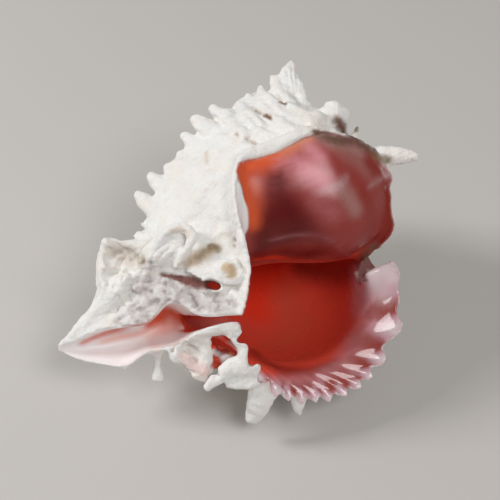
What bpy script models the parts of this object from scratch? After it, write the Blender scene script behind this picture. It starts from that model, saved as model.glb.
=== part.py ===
"""A pink-mouthed murex shell lying on its back, mouth up, as one closed solid.

The shell is modelled in its own frame, in millimetres: the axis of coiling is z with the
spire up, the mouth opens towards -y, and the outer lip is at +x. It is then turned the way
it lies on a table and scaled to metres, +Z up. The solid is grown in this order: the coiled
whorls with their ribs, the flared wall of the mouth, the canal with the older canal ends
beside it, and the spines. They are fused, the air in the mouth and the canal is cut out,
and the spines that the shell lies on are worn flat.
"""

import math

import bmesh
import bpy
import numpy as np

METRES = 0.001

# How it lies: the sight line into the mouth, and the height of the coil axis at mid length.
SIGHT_RISE = math.radians(44)
AXIS_TWIST = math.radians(27)
CANAL_TILT = math.radians(18)
AXIS_HEIGHT = 44.5
ORIGIN_SHIFT = (3.05, -2.6)
TO_EYE = np.array([0, -math.cos(CANAL_TILT), -math.sin(CANAL_TILT)])

# The coil. A turn is counted in degrees back from the lip. A section is (radius, height)
# from the top of the ramp, over the shoulder and down to the base.
LIP_AZIMUTH = -10.0
HALF_TURN, WHOLE_TURN, OLDEST_TURN = 187.0, 360.0, 1150.0
WHORL_RATIO = 2.2
APEX_HEIGHT = 48.0
SECTION_AT_LIP = (
    (0, 33.5), (15, 31.5), (28, 28), (39, 23.5), (46, 14.5), (48.5, 3),
    (46, -9), (40, -18.5), (31, -27), (22, -35), (12, -43), (0, -46),
)
SECTION_HALF_BACK = (
    (0, 41), (8, 40.5), (18, 36), (28, 29), (33, 20.5), (31, 11),
    (29.5, 1), (26, -8), (21.5, -16.5), (15, -24), (8, -30), (0, -33),
)
SECTION_TURN_BACK = (
    (0, 44), (6, 43.5), (12, 40), (18, 34), (20.5, 27), (20.5, 20.5),
    (18.5, 14.5), (15.5, 8.5), (12, 2), (9.5, -6), (8, -15), (0, -20),
)
WALL = 3.2
GLAZE = 2.0
CAVITY_END = 236.0

# Ribs, where the shell paused and thickened its lip: turn, height, share of full spines, and
# whether it has its own shoulder spine.
RIBS = (
    (8, 3.6, 0, False), (40, 3.6, 1, False), (84, 3.6, 1, True), (134, 3.6, 1, True),
    (187, 4.2, 0, False), (231, 1.2, 0, False), (276, 3.0, 0, False), (322, 3.6, 0.8, True),
    (368, 3.6, 0, False), (414, 3.6, 1, True), (460, 3.6, 1, True), (506, 3.6, 1, True),
    (552, 3.6, 1, True), (598, 3.6, 1, True), (644, 3.6, 0, False),
)
RIB_WIDTH = 7.5
CORD_COUNT, CORD_HEIGHT = 11, 1.5

# The rim of the mouth: the inner lip from the foot of the pillar round to the notch behind,
# then the outer lip from the notch round to the canal, with the points of its scallops.
INNER_RIM = (
    (22.5, -19, -20), (17.5, -20.5, -16), (11.5, -21, -12.5), (3, -23, -10.5), (-4, -24, -9),
    (-10.5, -24, -6.5), (-15, -23, -3), (-17.5, -21.5, 1), (-17.5, -22, 5), (-17, -23, 9.5),
    (-16, -25.5, 17.5), (-13.5, -26.5, 24), (-9.5, -26.5, 29.5), (-3.5, -23, 36), (2, -20.5, 39.5),
    (6.5, -19, 39.5), (10, -17, 38.2), (13.4, -16, 36.8), (16.3, -15, 36.2), (19, -14, 36),
    (20.9, -12.5, 34), (22.2, -10, 31.5), (23.2, -6, 28.8), (24.5, -2, 26.5), (27, 3, 25.2),
)
OUTER_RIM = (
    (27, 3, 25.2), (29.7, 1.5, 24), (31.3, -3, 24), (30.5, -7, 26.3), (29.4, -9.5, 29),
    (31.8, -8.5, 31.0), (35.0, -7, 31.0), (38.5, -6, 30.3), (42.1, -6, 28.9), (45.0, -6, 26.4),
    (47.8, -6, 22), (51.5, -6.5, 17), (54.2, -6.5, 11), (56, -6.5, 5.5), (55.6, -6, 0),
    (54, -6.5, -6), (51, -7, -12), (46.5, -8, -17), (42, -9, -20), (37, -10, -21),
    (31.5, -11, -21.5), (26.5, -13, -21.5), (23.5, -16, -21),
)
SCALLOP_TIPS = (0.158, 0.335, 0.434, 0.49, 0.527, 0.569, 0.614, 0.65, 0.688, 0.724, 0.763,
                0.818, 0.87, 0.94)
SCALLOP_REACH, SCALLOP_DEPTH, SCALLOP_SLOPE = 2.3, 1.3, 0.76
LIP_EDGE = 1.4
INNER_PLACES, OUTER_PLACES = 80, 180
MOUTH_END = 14.0
MOUTH_STEPS = (0, 0.05, 0.11, 0.18, 0.26, 0.35, 0.45, 0.56, 0.68, 0.84, 1.0)
FLANGE_RUN, FLANGE_SKIRT = 3.6, 5.0
SPARE = 1.6  # wall left standing in the mouth for the air to cut away
LIP_ROOT = 32.0
AIR_REACH = 45.0

# The canal: lines along its outside from the tip to the mouth, corner by corner.
CANAL_OUTSIDE = {
    "left edge": ((6.4, 10, -66.8), (7.0, 6, -60.3), (7.6, 2, -53.8), (9.6, -2, -48.5),
                  (11.8, -6, -42.3), (9.0, -8.5, -34.7), (16.2, -14.5, -30.0), (21.0, -18.5, -19.5)),
    "left face": ((6.2, 10, -66.6), (5.0, 8, -59), (2.7, 4, -51.5), (1.9, 0, -46.0),
                  (3.5, -5, -40.9), (3.5, -7, -34.8), (9, -9, -27.0), (13, -12, -18.0)),
    "ridge": ((6.2, 10.4, -66.4), (3.1, 10, -58.1), (-1.1, 8, -50.4), (-6.4, 5, -44.4),
              (-9.5, 0, -39.1), (-6.3, -4, -32.5), (-1, -5, -25.1), (3, -8, -15.7)),
    "back left": ((6.6, 11, -66.4), (5, 13, -58), (0, 14, -50), (-5, 13, -44),
                  (-8, 12, -38), (-6, 13, -31), (-4, 13, -22), (0, 12, -12)),
    "back right": ((7.2, 11, -66.6), (10, 13, -60), (12, 15, -52), (14, 17, -46),
                   (16, 18, -40), (19, 18, -33), (22, 16, -25), (24, 12, -15)),
    "right edge": ((7.4, 10, -66.8), (12.9, 9.5, -62.3), (17.5, 7.4, -56.8), (20.7, 5.4, -52.4),
                   (20.2, 1.6, -45.2), (22.2, -2, -39.2), (22.9, -7, -31.8), (26.0, -12, -22.5)),
    "over the slit": ((6.9, 9.6, -66.9), (9.8, 6.5, -61.2), (12.5, 3.5, -55.0), (14.6, 0.5, -50.2),
                      (15.8, -3.5, -43.6), (15.6, -6.5, -36.8), (19.5, -12, -30.8), (23.8, -16.5, -20.9)),
}
CANAL_INSIDE = {
    "left edge": ((6.9, 9.4, -67.4), (7.5, 6, -60.3), (8.2, 2, -53.8), (10.3, -2, -48.5), (12.5, -6, -42.3),
                  (9.7, -8, -34.7), (17.0, -14, -30.2), (22.4, -18, -20.4), (27, -15, -15)),
    "under left": ((7.0, 9.8, -67.4), (7.6, 9, -60.3), (8.4, 7, -53.8), (9.5, 5, -48.0), (11, 3, -42.0),
                   (9.7, 1, -34.7), (16.0, -4, -29.2), (20.6, -9, -19.4), (24, -5, -12)),
    "floor": ((7.2, 10.0, -67.4), (9.6, 10.8, -60.9), (11.5, 10.5, -54.8), (13, 10, -49.8), (15, 9, -43),
              (15, 8, -36), (19.0, 4, -29.5), (23.6, -2, -19), (27, -2, -12)),
    "right edge": ((7.4, 9.4, -67.4), (12.3, 9, -62.1), (16.9, 7, -56.6), (20, 5, -52), (19.1, 1, -44.7),
                   (21.1, -3, -38.8), (20.6, -9, -31.0), (23.3, -16, -21.2), (29, -14, -15)),
}

# Bars: bent lumps and spines. Each is a path, its half widths along the path, how flat it
# is, and the way that its flat side faces.
TOWARDS_EYE = (0, -1, -0.3)
BARS = {
    "big shoulder spine": (((-24, -13, 27.5), (-29.5, -10, 28.6), (-34, -7, 30.2), (-39.7, -5, 35)),
                           (2.6, 3.7, 3.4, 0.4), 0.5, TOWARDS_EYE),
    "shoulder fold": (((-24.5, -14.5, 24), (-32, -8, 24.8), (-37.2, -4.5, 26.9)), (2.2, 3.0, 1.3), 0.8,
                      TOWARDS_EYE),
    "second fold": (((-24.5, -16, 18.3), (-31, -7.2, 19.8), (-36.6, -1.2, 23)), (2.8, 3.3, 0.9), 0.8,
                    TOWARDS_EYE),
    "small tooth": (((-31, -4, 16.5), (-36, -0.5, 18.6)), (2.6, 0.8), 0.8, TOWARDS_EYE),
    "third fold": (((-22.5, -17, 10.6), (-28.8, -8.4, 12), (-34, -1.5, 15.5)), (2.8, 3.2, 1.4), 0.8,
                   TOWARDS_EYE),
    "fourth fold": (((-23, -16, 6.0), (-28, -8, 7.2), (-34, -0.5, 10)), (2.2, 2.6, 1.4), 0.8, TOWARDS_EYE),
    "knob spine": (((-13, -16, 25), (-17, -18, 30), (-19.7, -18, 33.4)), (4.6, 4.8, 3.9), 0.7, TOWARDS_EYE),
    "knob fold": (((-14, -20, 18.5), (-18.4, -21.4, 23.5), (-18.8, -21, 28)), (3.0, 2.7, 2.2), 0.8,
                  TOWARDS_EYE),
    "right shoulder spine": (((-3, -14, 33), (-1, -18.5, 39), (2, -22, 44.5), (4.6, -24, 48.5)),
                             (3.2, 3.0, 3.1, 1.1), 0.7, TOWARDS_EYE),
    "canal finger": (((20, 0.5, -42), (24.4, 4, -43.7), (28.2, 5, -45.1)), (1.5, 0.9, 1.4), 0.9, TOWARDS_EYE),
    "canal thorn": (((16, 6, -50.5), (20, 5.5, -52), (21.5, 5.5, -52.8)), (2.0, 1.0, 0.4), 0.6, TOWARDS_EYE),
    "canal ridge": (((6.6, 9.6, -65.6), (5.0, 7.0, -57.3), (2.0, 3.2, -50.4), (0.2, -0.8, -46.0),
                     (-3.4, -2.4, -41.2)), (1.2, 2.6, 3.2, 3.2, 2.6), 0.7, TOWARDS_EYE),
    "old canal rim": (((1.4, 2, -51.2), (-2.4, -0.5, -48.4), (-7.2, -0.4, -47.0), (-10.5, -0.8, -44.5),
                       (-14.4, -1, -41.8), (-12.3, -1.6, -38.4), (-9.5, -2.6, -34), (-7, -3.5, -29)),
                      (1.2, 1.0, 1.0, 1.3, 1.0, 1.4, 1.6, 2.0), 0.8, TOWARDS_EYE),
    "old canal web": (((1, 3, -48), (-4.5, 1.6, -45.2), (-9.6, 1.2, -42), (-6, 0, -35)), (3.4, 4.0, 4.0, 5.0),
                      0.6, TOWARDS_EYE),
    "frill ridge": (((20.6, -11.5, -27.6), (21.6, -13.2, -24.3), (25.8, -12.8, -22.9), (30.5, -12, -21.8),
                     (35, -11, -22), (39.2, -9.6, -21.6)), (1.7, 2.3, 2.6, 2.4, 2.7, 2.4), 0.75, TOWARDS_EYE),
    "frill spine": (((36, -9.5, -22), (34.6, -8.4, -28), (36.6, -5.3, -36.2)), (3.6, 2.8, 1.3), 0.6,
                    TOWARDS_EYE),
    "frill fold": (((41, -8.5, -21.5), (40.6, -8, -25), (38.4, -6.5, -30.5)), (2.4, 1.7, 1.1), 0.8,
                   TOWARDS_EYE),
    "frill arch": (((21.5, -12.5, -26), (20.8, -10.5, -29.3), (22.6, -8, -30.7), (25.6, -7, -29.8)),
                   (1.9, 1.7, 1.6, 1.4), 0.9, TOWARDS_EYE),
    "upper lobe": (((24.6, -6, -31.2), (21.0, -5.6, -33.6), (20.9, -4, -37.6), (24.2, -3, -38.6),
                    (26.6, -4, -35.2)), (1.6, 1.9, 2.2, 2.4, 1.6), 0.9, TOWARDS_EYE),
    "lower lobe": (((25, -3.4, -38), (28.4, -3.2, -36), (31.6, -3, -35.8), (34.6, -3, -34)),
                   (2.2, 2.0, 1.9, 1.1), 0.9, TOWARDS_EYE),
    "inner lobe": (((24.4, -6.5, -30.8), (28.2, -5.6, -31.4), (30.6, -4.6, -32.8), (32, -4, -34.4)),
                   (1.7, 2.1, 1.9, 1.4), 0.9, TOWARDS_EYE),
    "lobe tooth": (((27, -6.2, -31), (29.4, -6.4, -29.2)), (1.5, 0.7), 0.9, TOWARDS_EYE),
    "frill bed": (((24, -2, -31), (28, -2.4, -33), (32, -2.4, -31)), (3.2, 3.6, 3.0), 0.7, TOWARDS_EYE),
    "flat spine": (((43, -6, -19), (48, -4, -24), (52, 0.5, -27)), (4.6, 3.8, 2.2), 0.45, TOWARDS_EYE),
    "short spine": (((49, -5, -11), (54, -3.5, -13), (57, -2, -13.3)), (3.0, 2.2, 0.8), 0.6, TOWARDS_EYE),
    "curl rim": (((-6.4, -9.4, -30.4), (-8.6, -11.3, -28.2), (-8.8, -13.2, -24.9), (-7.1, -14.9, -22.3),
                  (-4.2, -15.9, -22.0), (-2.2, -15, -24.2), (-0.4, -12, -26.2), (1.2, -9.6, -28.8)),
                 (1.1, 1.3, 1.4, 1.5, 1.5, 1.4, 1.3, 1.0), 1.0, TOWARDS_EYE),
    "curl back": (((-5.5, -4, -22), (-3.5, -7, -24.5), (0.5, -5.5, -28)), (6.4, 6.0, 4.6), 0.7, TOWARDS_EYE),
    "curl fan": (((-4.8, -10.6, -25), (-4.8, -8.4, -29.4), (-3.2, -6.0, -34.5), (-0.6, -4.8, -38.5)),
                 (4.6, 4.6, 3.8, 1.8), 0.45, TOWARDS_EYE),
    "pillar bed": (((-7, -8, -15), (-1, -9, -19), (5, -9.5, -20.5), (12, -12, -20)), (5.5, 6.5, 6.5, 6.0),
                   0.8, TOWARDS_EYE),
    "pillar flank": (((-13, -10, -5), (-3, -11, -12), (7, -12, -16)), (6.5, 7.0, 6.0), 0.6, TOWARDS_EYE),
    "pillar disc": (((8.5, -13, -18.4), (8.9, -18.2, -17.2)), (4.2, 3.2), 0.9, (0, 0, 1)),
    "disc rim": (((7.2, -18.4, -13.9), (10.4, -18.8, -14.6), (12.4, -18.6, -17.0), (11.6, -17.2, -20.2)),
                 (0.9, 1.2, 1.3, 0.9), 1.0, TOWARDS_EYE),
}
# The spines that stand up along the left rib: how each runs from the flank over the crest, from
# its tip, and the tips themselves.
RIB_FOLD_ROOT, RIB_FOLD_INNER = (8.0, -3.0, 2.8), (12.5, -8.5, 5.2)
LEFT_RIB_TIPS = (
    (-37, 1, 6.5), (-36.8, 1, 0), (-33.4, 2, -5), (-28.9, 2, -9), (-27.4, 3, -14), (-26.9, 3, -19.6),
    (-23.4, 4, -25.5), (-14.9, 4, -27), (-12.3, 4, -31.2),
)
# Spines of the other ribs: place along the section, and length on the last whorl. The first
# is the shoulder spine.
RIB_SPINES = (
    (0.30, 12.0), (0.37, 4.0), (0.43, 3.0), (0.49, 4.5), (0.55, 4.5), (0.60, 4.0),
    (0.65, 3.5), (0.70, 4.5), (0.75, 6.0), (0.80, 6.0), (0.85, 4.0),
)
SPINE_SWEEP = 0.15
# The spines that the shell lies on, as turn and place. They reach a little below the table.
REST_SPINES = ((40, 0.31), (40, 0.62), (84, 0.31), (84, 0.47))
WORN = 0.9

# Hollows besides the mouth: path, half widths, flatness and flat way.
HOLLOWS = {
    "umbilicus": (((10.5, -24, -24), (10.8, -10, -21.5), (11, -2, -18.5)), (3.0, 2.8, 1.6), 0.55,
                  (0.7, 0, -0.7)),
    "umbilical groove": (((11, -12.6, -22.6), (6.8, -10.4, -26.9), (2.9, -8.8, -31), (-1, -7.0, -34)),
                         (2.2, 2.2, 1.7, 1.0), 1.0, TOWARDS_EYE),
    "gap in the frill": (((28, 2, -23), (29.5, -7, -28.5), (33, -15, -34)), (2.6, 1.9, 2.2), 0.7, (1, 0, 0)),
}
BAR_SIDES = 12

BODY_VOXEL, AIR_VOXEL, SKIN_VOXEL = 0.9, 0.8, 0.7
MOST_TRIANGLES = 9300
TABLE_DEPTH = 10.0
FLAT_WITHIN = 0.25


def hermite(knots, values, at):
    """Values on a smooth curve through the given ones, at the given places."""
    knots, values = np.asarray(knots, float), np.asarray(values, float)
    gaps = np.diff(knots)[:, None]
    steps = np.diff(values, axis=0) / gaps
    slopes = np.empty_like(values)
    slopes[0], slopes[-1] = steps[0], steps[-1]
    slopes[1:-1] = (steps[:-1] * gaps[1:] + steps[1:] * gaps[:-1]) / (gaps[:-1] + gaps[1:])
    cell = np.clip(np.searchsorted(knots, at, side="right") - 1, 0, len(knots) - 2)
    gap = gaps[cell]
    s = ((at - knots[cell]) / gap[:, 0])[:, None]
    return (
        values[cell] * (2 * s**3 - 3 * s**2 + 1) + values[cell + 1] * (3 * s**2 - 2 * s**3)
        + slopes[cell] * gap * (s**3 - 2 * s**2 + s) + slopes[cell + 1] * gap * (s**3 - s**2)
    )


def along(points, count):
    """A smooth curve through the points, read at count even places."""
    points = np.asarray(points, float)
    lengths = np.linalg.norm(np.diff(points, axis=0), axis=1)
    knots = np.concatenate([[0.0], np.cumsum(lengths)])
    return hermite(knots / knots[-1], points, np.linspace(0, 1, count))


def bezier(start, near_start, near_end, end, share):
    keep = 1 - share
    return (
        start * keep**3 + near_start * 3 * keep**2 * share
        + near_end * 3 * keep * share**2 + end * share**3
    )


def ease(value):
    value = np.clip(value, 0, 1)
    return value * value * (3 - 2 * value)


def unit(vectors):
    return vectors / np.linalg.norm(vectors, axis=-1, keepdims=True)


def polar(radius, azimuth, height):
    """Points from radius, azimuth in degrees and height."""
    angle = np.radians(azimuth)
    return np.stack([radius * np.cos(angle), radius * np.sin(angle), height + 0 * radius], axis=-1)


def to_polar(points):
    """Radius, and azimuth in degrees counted on past the lip."""
    azimuth = np.degrees(np.arctan2(points[:, 1], points[:, 0])) % 360
    return np.hypot(points[:, 0], points[:, 1]), np.where(azimuth < 180, azimuth + 360, azimuth)


def sweep_way(azimuth):
    """The way in which the azimuth grows."""
    angle = math.radians(azimuth)
    return np.array([-math.sin(angle), math.cos(angle), 0])


SECTION_POINTS = 60
SECTIONS = tuple(along(s, SECTION_POINTS) for s in (SECTION_AT_LIP, SECTION_HALF_BACK, SECTION_TURN_BACK))


def growth(turn):
    return WHORL_RATIO ** (-turn / 360.0)


def section(turn):
    """The whorl's outer section at a turn."""
    lip, half, whole = SECTIONS
    if turn <= HALF_TURN:
        return lip + (half - lip) * turn / HALF_TURN
    if turn <= WHOLE_TURN:
        return half + (whole - half) * (turn - HALF_TURN) / (WHOLE_TURN - HALF_TURN)
    size = growth(turn - WHOLE_TURN)
    return np.stack([whole[:, 0] * size, APEX_HEIGHT - (APEX_HEIGHT - whole[:, 1]) * size], axis=-1)


def section_normals(points):
    run = unit(np.gradient(points, axis=0))
    return np.stack([-run[:, 1], run[:, 0]], axis=-1)


def whorl_radius(turn, height):
    points = section(turn)
    return float(np.interp(-height, -points[:, 1], points[:, 0]))


def whorl_radii(azimuths, heights):
    return np.array([whorl_radius(a - LIP_AZIMUTH, z) for a, z in zip(azimuths, heights)])


def new_object(name, vertices, faces):
    mesh = bpy.data.meshes.new(name)
    mesh.from_pydata([tuple(v) for v in vertices], [], faces)
    work = bmesh.new()
    work.from_mesh(mesh)
    if work.calc_volume(signed=True) < 0:
        bmesh.ops.reverse_faces(work, faces=work.faces)
    work.to_mesh(mesh)
    work.free()
    made = bpy.data.objects.new(name, mesh)
    bpy.context.scene.collection.objects.link(made)
    return made


def ring_faces(rows, size, closed_rows=False):
    """Quads between successive closed rings, and from the last ring to the first if asked."""
    faces = []
    for row in range(rows if closed_rows else rows - 1):
        here, there = row * size, ((row + 1) % rows) * size
        for place in range(size):
            after = (place + 1) % size
            faces.append((here + place, here + after, there + after, there + place))
    return faces


def loft(name, rings):
    """A closed solid through rings of equal count, with a cap on each end."""
    rings = np.asarray(rings, float)
    count, size, _ = rings.shape
    faces = ring_faces(count, size)
    first, last = count * size, count * size + 1
    for place in range(size):
        after = (place + 1) % size
        faces.append((first, after, place))
        faces.append((last, (count - 1) * size + place, (count - 1) * size + after))
    ends = [rings[0].mean(axis=0), rings[-1].mean(axis=0)]
    return new_object(name, np.concatenate([rings.reshape(-1, 3), ends]), faces)


def tyre(name, rings):
    """A closed solid through rings that come back to the first one."""
    rings = np.asarray(rings, float)
    return new_object(name, rings.reshape(-1, 3), ring_faces(len(rings), rings.shape[1], True))


def bar(name, path, widths, flatness, flat_way):
    """A bent bar of oval section with rounded ends."""
    path = np.asarray(path, float)
    count = 5 * len(path)
    centres = along(path, count)
    knots = np.linspace(0, 1, len(path))
    half = np.interp(np.linspace(0, 1, count), knots, widths)
    run = unit(np.gradient(centres, axis=0))
    side = unit(np.cross(run, np.asarray(flat_way, float)))
    up = np.cross(side, run)
    angles = np.linspace(0, 2 * math.pi, BAR_SIDES, endpoint=False)
    rings = []
    for centre, width, across, over, way in zip(centres, half, side, up, run):
        oval = np.outer(np.cos(angles), across) + np.outer(np.sin(angles), over) * flatness
        if not rings:
            rings.append(centre - way * width * 0.5 + oval * width * 0.5)
        rings.append(centre + oval * width)
    rings.append(centres[-1] + run[-1] * half[-1] * 0.5 * flatness + (rings[-1] - centres[-1]) * 0.55)
    return loft(name, rings)


def rib_rise(turn):
    return sum(height * math.exp(-(((turn - at) / RIB_WIDTH) ** 2)) for at, height, _, _ in RIBS)


def coil():
    """The whorls, as one solid wound round the axis from the lip to the apex."""
    place = np.linspace(0, 1, SECTION_POINTS)
    cords = np.sin(math.pi * CORD_COUNT * np.clip((place - 0.2) / 0.7, 0, 1)) ** 2 * (1.15 - place)
    ribbed = np.clip((place - 0.2) / 0.08, 0, 1) * np.clip((0.93 - place) / 0.1, 0, 1)
    rings = []
    for turn in np.concatenate([np.arange(2, 400, 4), np.arange(400, OLDEST_TURN, 10)]):
        points = section(turn)
        lift = (rib_rise(turn) * ribbed + cords * CORD_HEIGHT) * growth(turn)
        points = points + section_normals(points) * lift[:, None]
        rings.append(polar(np.maximum(points[:, 0], 0.02), LIP_AZIMUTH + turn, points[:, 1]))
    return loft("coil", rings)


def cavity_ring(turn):
    """The air inside the whorl at a turn: up the inner wall, then down the outer wall."""
    size = growth(turn)
    outer = section(turn)
    outer = outer - section_normals(outer) * WALL * (0.4 + 0.6 * size)
    older = section(turn + WHOLE_TURN)
    older = older + section_normals(older) * GLAZE
    top = np.array([older[22, 0] + 2.2 * size, older[20, 1]])
    down = outer[(outer[:, 1] < top[1] - 1.5 * size) & (outer[:, 0] > 21 * size)]
    down = down[np.argmax(down[:, 0] > 30 * size):]
    base = np.array([12.5 * size, down[-1, 1] - 0.5 * size])
    up = older[(older[:, 1] < top[1] - 2.5 * size) & (older[:, 1] > base[1] + 9 * size)][::-1]
    up = up[up[:, 0] > 8 * size]
    inner_wall = along(np.concatenate([[base], up[::4], [top]]), INNER_PLACES + 1)[:-1]
    outer_wall = along(np.concatenate([[top], down[::3], [base]]), OUTER_PLACES + 1)[:-1]
    loop = np.concatenate([inner_wall, outer_wall])
    return polar(loop[:, 0], LIP_AZIMUTH + turn, loop[:, 1])


# Shares along the inner and the outer lip, 0 on the other one.
INNER_SHARE = np.concatenate([np.arange(INNER_PLACES) / INNER_PLACES, np.zeros(OUTER_PLACES)])
OUTER_SHARE = np.concatenate([np.zeros(INNER_PLACES), np.arange(OUTER_PLACES) / OUTER_PLACES])
ON_OUTER_LIP = (ease(OUTER_SHARE / 0.14) * ease((1 - OUTER_SHARE) / 0.16))[:, None]


def outwards(ring):
    """At each rim point, the way that leads out of the mouth, square to the sight line."""
    run = np.roll(ring, -3, axis=0) - np.roll(ring, 3, axis=0)
    way = unit(np.cross(run, TO_EYE))
    return way * np.sign(np.sum((ring - ring.mean(axis=0)) * way))


def scallops():
    """The wave of the outer lip: 1 on the points, 0 between them."""
    wave = np.interp(OUTER_SHARE, SCALLOP_TIPS, np.arange(len(SCALLOP_TIPS)))
    fade = ease(OUTER_SHARE / 0.15) * ease((0.97 - OUTER_SHARE) / 0.03)
    phase = wave % 1
    saw = np.where(phase < SCALLOP_SLOPE, 1 - ease(phase / SCALLOP_SLOPE),
                   ease((phase - SCALLOP_SLOPE) / (1 - SCALLOP_SLOPE)))
    return (saw * fade)[:, None]


def mouth_rings():
    """The glazed surface of the mouth, from the rim to where the closed whorl begins."""
    rim = np.concatenate([along(INNER_RIM, INNER_PLACES + 1)[:-1], along(OUTER_RIM, OUTER_PLACES + 1)[:-1]])
    rim = rim + outwards(rim) * (scallops() - 0.35) * SCALLOP_REACH * (OUTER_SHARE > 0)[:, None]
    deep = cavity_ring(MOUTH_END)
    radius, azimuth = to_polar(rim)
    end_azimuth = LIP_AZIMUTH + MOUTH_END + 360
    reach = np.linalg.norm(deep - rim, axis=1)
    floor_start = whorl_radii(azimuth, rim[:, 2]) + GLAZE
    floor_end = whorl_radii(np.full(len(rim), end_azimuth), deep[:, 2]) + GLAZE
    fade = FLANGE_RUN + 0.3 * np.abs(radius - floor_start)
    lean = deep - rim
    lean[:, 1] *= 0.35
    lean = unit(lean) * reach[:, None] * 0.45
    before_deep = deep - sweep_way(end_azimuth) * reach[:, None] * 0.4
    into_mouth = unit(TO_EYE - outwards(rim))
    rings = []
    for share in MOUTH_STEPS:
        turned = azimuth + (end_azimuth - azimuth) * share
        height = rim[:, 2] + (deep[:, 2] - rim[:, 2]) * share
        lift = (radius - floor_start) * np.exp(-((share * reach / fade) ** 1.6))
        lift += (to_polar(deep)[0] - floor_end) * share**2
        wound = polar(whorl_radii(turned, height) + GLAZE + lift, turned, height)
        bell = bezier(rim, rim + lean, before_deep, deep, share)
        flute = (0.5 - scallops()) * SCALLOP_DEPTH * max(0, 1 - share / 0.7)
        bell = bell + into_mouth * flute
        rings.append(wound + (bell - wound) * ON_OUTER_LIP)
    return rings


def mouth_wall(rings):
    """The flared lip and the glazed shield, as one wall all round the mouth."""
    rim = rings[0]
    out = outwards(rim)
    radius, azimuth = to_polar(rim)
    on_left = ease((0.62 - INNER_SHARE) / 0.1) * (OUTER_SHARE == 0)
    shift = np.degrees(FLANGE_SKIRT * on_left / radius)
    foot = polar(np.maximum(whorl_radii(azimuth - shift, rim[:, 2]) - 1.5, 0.5), azimuth - shift, rim[:, 2])
    body = section(LIP_ROOT)
    body = body - section_normals(body) * 0.8
    down = along(body[(body[:, 0] > 20) & (body[:, 1] < 29)][::3], OUTER_PLACES)
    down = polar(down[:, 0], LIP_AZIMUTH + LIP_ROOT, down[:, 1])
    root = foot + (np.concatenate([foot[:INNER_PLACES], down]) - foot) * ON_OUTER_LIP
    edge = rim + out * LIP_EDGE
    walls = [ring + unit(TO_EYE - out) * SPARE for ring in rings[:-3][::-1]]
    walls += [rim + out * LIP_EDGE * 0.5 + TO_EYE * 0.5, edge]
    reach = np.linalg.norm(root - edge, axis=1)[:, None]
    inward = root - edge
    inward[:, 1] *= 0.35
    inward = unit(inward) * reach * 0.4
    before_root = root - sweep_way(LIP_AZIMUTH + LIP_ROOT) * reach * 0.45
    for share in (0.12, 0.25, 0.4, 0.55, 0.7, 0.85, 1.0):
        straight = edge + (root - edge) * share
        bell = bezier(edge, edge + inward, before_root, root, share)
        walls.append(straight + (bell - straight) * ON_OUTER_LIP)
    for ring in (rings[5], rings[-4]):
        deep_radius, deep_azimuth = to_polar(ring)
        inside = polar(np.maximum(deep_radius - 4, 0.5), deep_azimuth, ring[:, 2])
        walls.append(inside + (root - inside) * ON_OUTER_LIP)
    return tyre("mouth_wall", walls)


def mouth_air(rings):
    """The air in the mouth and in the last turns of the whorl."""
    front = [rings[0] + TO_EYE * AIR_REACH, rings[0] + TO_EYE]
    wound = [cavity_ring(turn) for turn in np.arange(MOUTH_END + 8, CAVITY_END, 8)]
    return loft("mouth_air", front + rings + wound)


def canal_block():
    lines = np.stack([along(line, 26) for line in CANAL_OUTSIDE.values()], axis=1)
    corners = lines.shape[1]
    rings = []
    for ring in lines:
        wrapped = np.concatenate([ring[-2:], ring, ring[:3]])
        places = np.linspace(0, corners, 6 * corners + 1)[:-1]
        rings.append(hermite(np.arange(-2, corners + 3), wrapped, places))
    return loft("canal_block", rings)


def canal_air():
    lines = np.stack([along(line, 30) for line in CANAL_INSIDE.values()], axis=1)
    rings = []
    for ring in lines:
        floor = along(ring, 12)
        rings.append(np.concatenate([floor, floor[-1:] + TO_EYE * AIR_REACH, floor[:1] + TO_EYE * AIR_REACH]))
    return loft("canal_air", rings)


def left_rib_spines():
    """The row of folded spines that stands up along the left rib."""
    made = []
    for tip in np.asarray(LEFT_RIB_TIPS, float):
        path = (tip + RIB_FOLD_INNER, tip + RIB_FOLD_ROOT, tip + np.array([3.4, -1.0, 1.1]), tip)
        made.append(bar("spine", path, (2.6, 3.5, 3.1, 1.5), 0.85, TOWARDS_EYE))
    return made


def rib_spines():
    """The rows of spines on the ribs that the mouth doesn't hide."""
    made = []
    for turn, rib_height, share, has_shoulder in RIBS:
        size = growth(turn)
        if not share or size < 0.25:
            continue
        points = section(turn)
        normals = section_normals(points)
        for place, length in RIB_SPINES if has_shoulder else RIB_SPINES[1:]:
            index = int(round(place * (SECTION_POINTS - 1)))
            (radius, height), (out, up) = points[index], normals[index]
            rise = (length * share + rib_height * 0.7) * size**0.6
            root = polar(radius - 2.5 * size, LIP_AZIMUTH + turn, height)
            tip = polar(radius + out * rise, LIP_AZIMUTH + turn, height + (up + SPINE_SWEEP) * rise)
            wide = (2.2 + 0.16 * length) * size**0.5
            path = (root, root + (tip - root) * 0.6, tip)
            made.append(bar("spine", path, (wide, wide * 0.7, 0.5), 0.8, (0, 0, 1)))
    return made


def rest_spines():
    """Stout spines under the shell that end a little below the table top."""
    down = -to_row(np.eye(3))[:, 2]
    made = []
    for turn, place in REST_SPINES:
        radius, height = section(turn)[int(round(place * (SECTION_POINTS - 1)))]
        root = polar(radius - 3, LIP_AZIMUTH + turn, height)
        out = unit(polar(1.0, LIP_AZIMUTH + turn, 0.12))
        far = (AXIS_HEIGHT + WORN - root @ down) / (out @ down)
        tip = root + out * far
        path = (root, root + (tip - root) * 0.6, tip)
        made.append(bar("rest", path, (5.2, 4.0, 2.3), 0.9, (0, 0, 1)))
    return made


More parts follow.
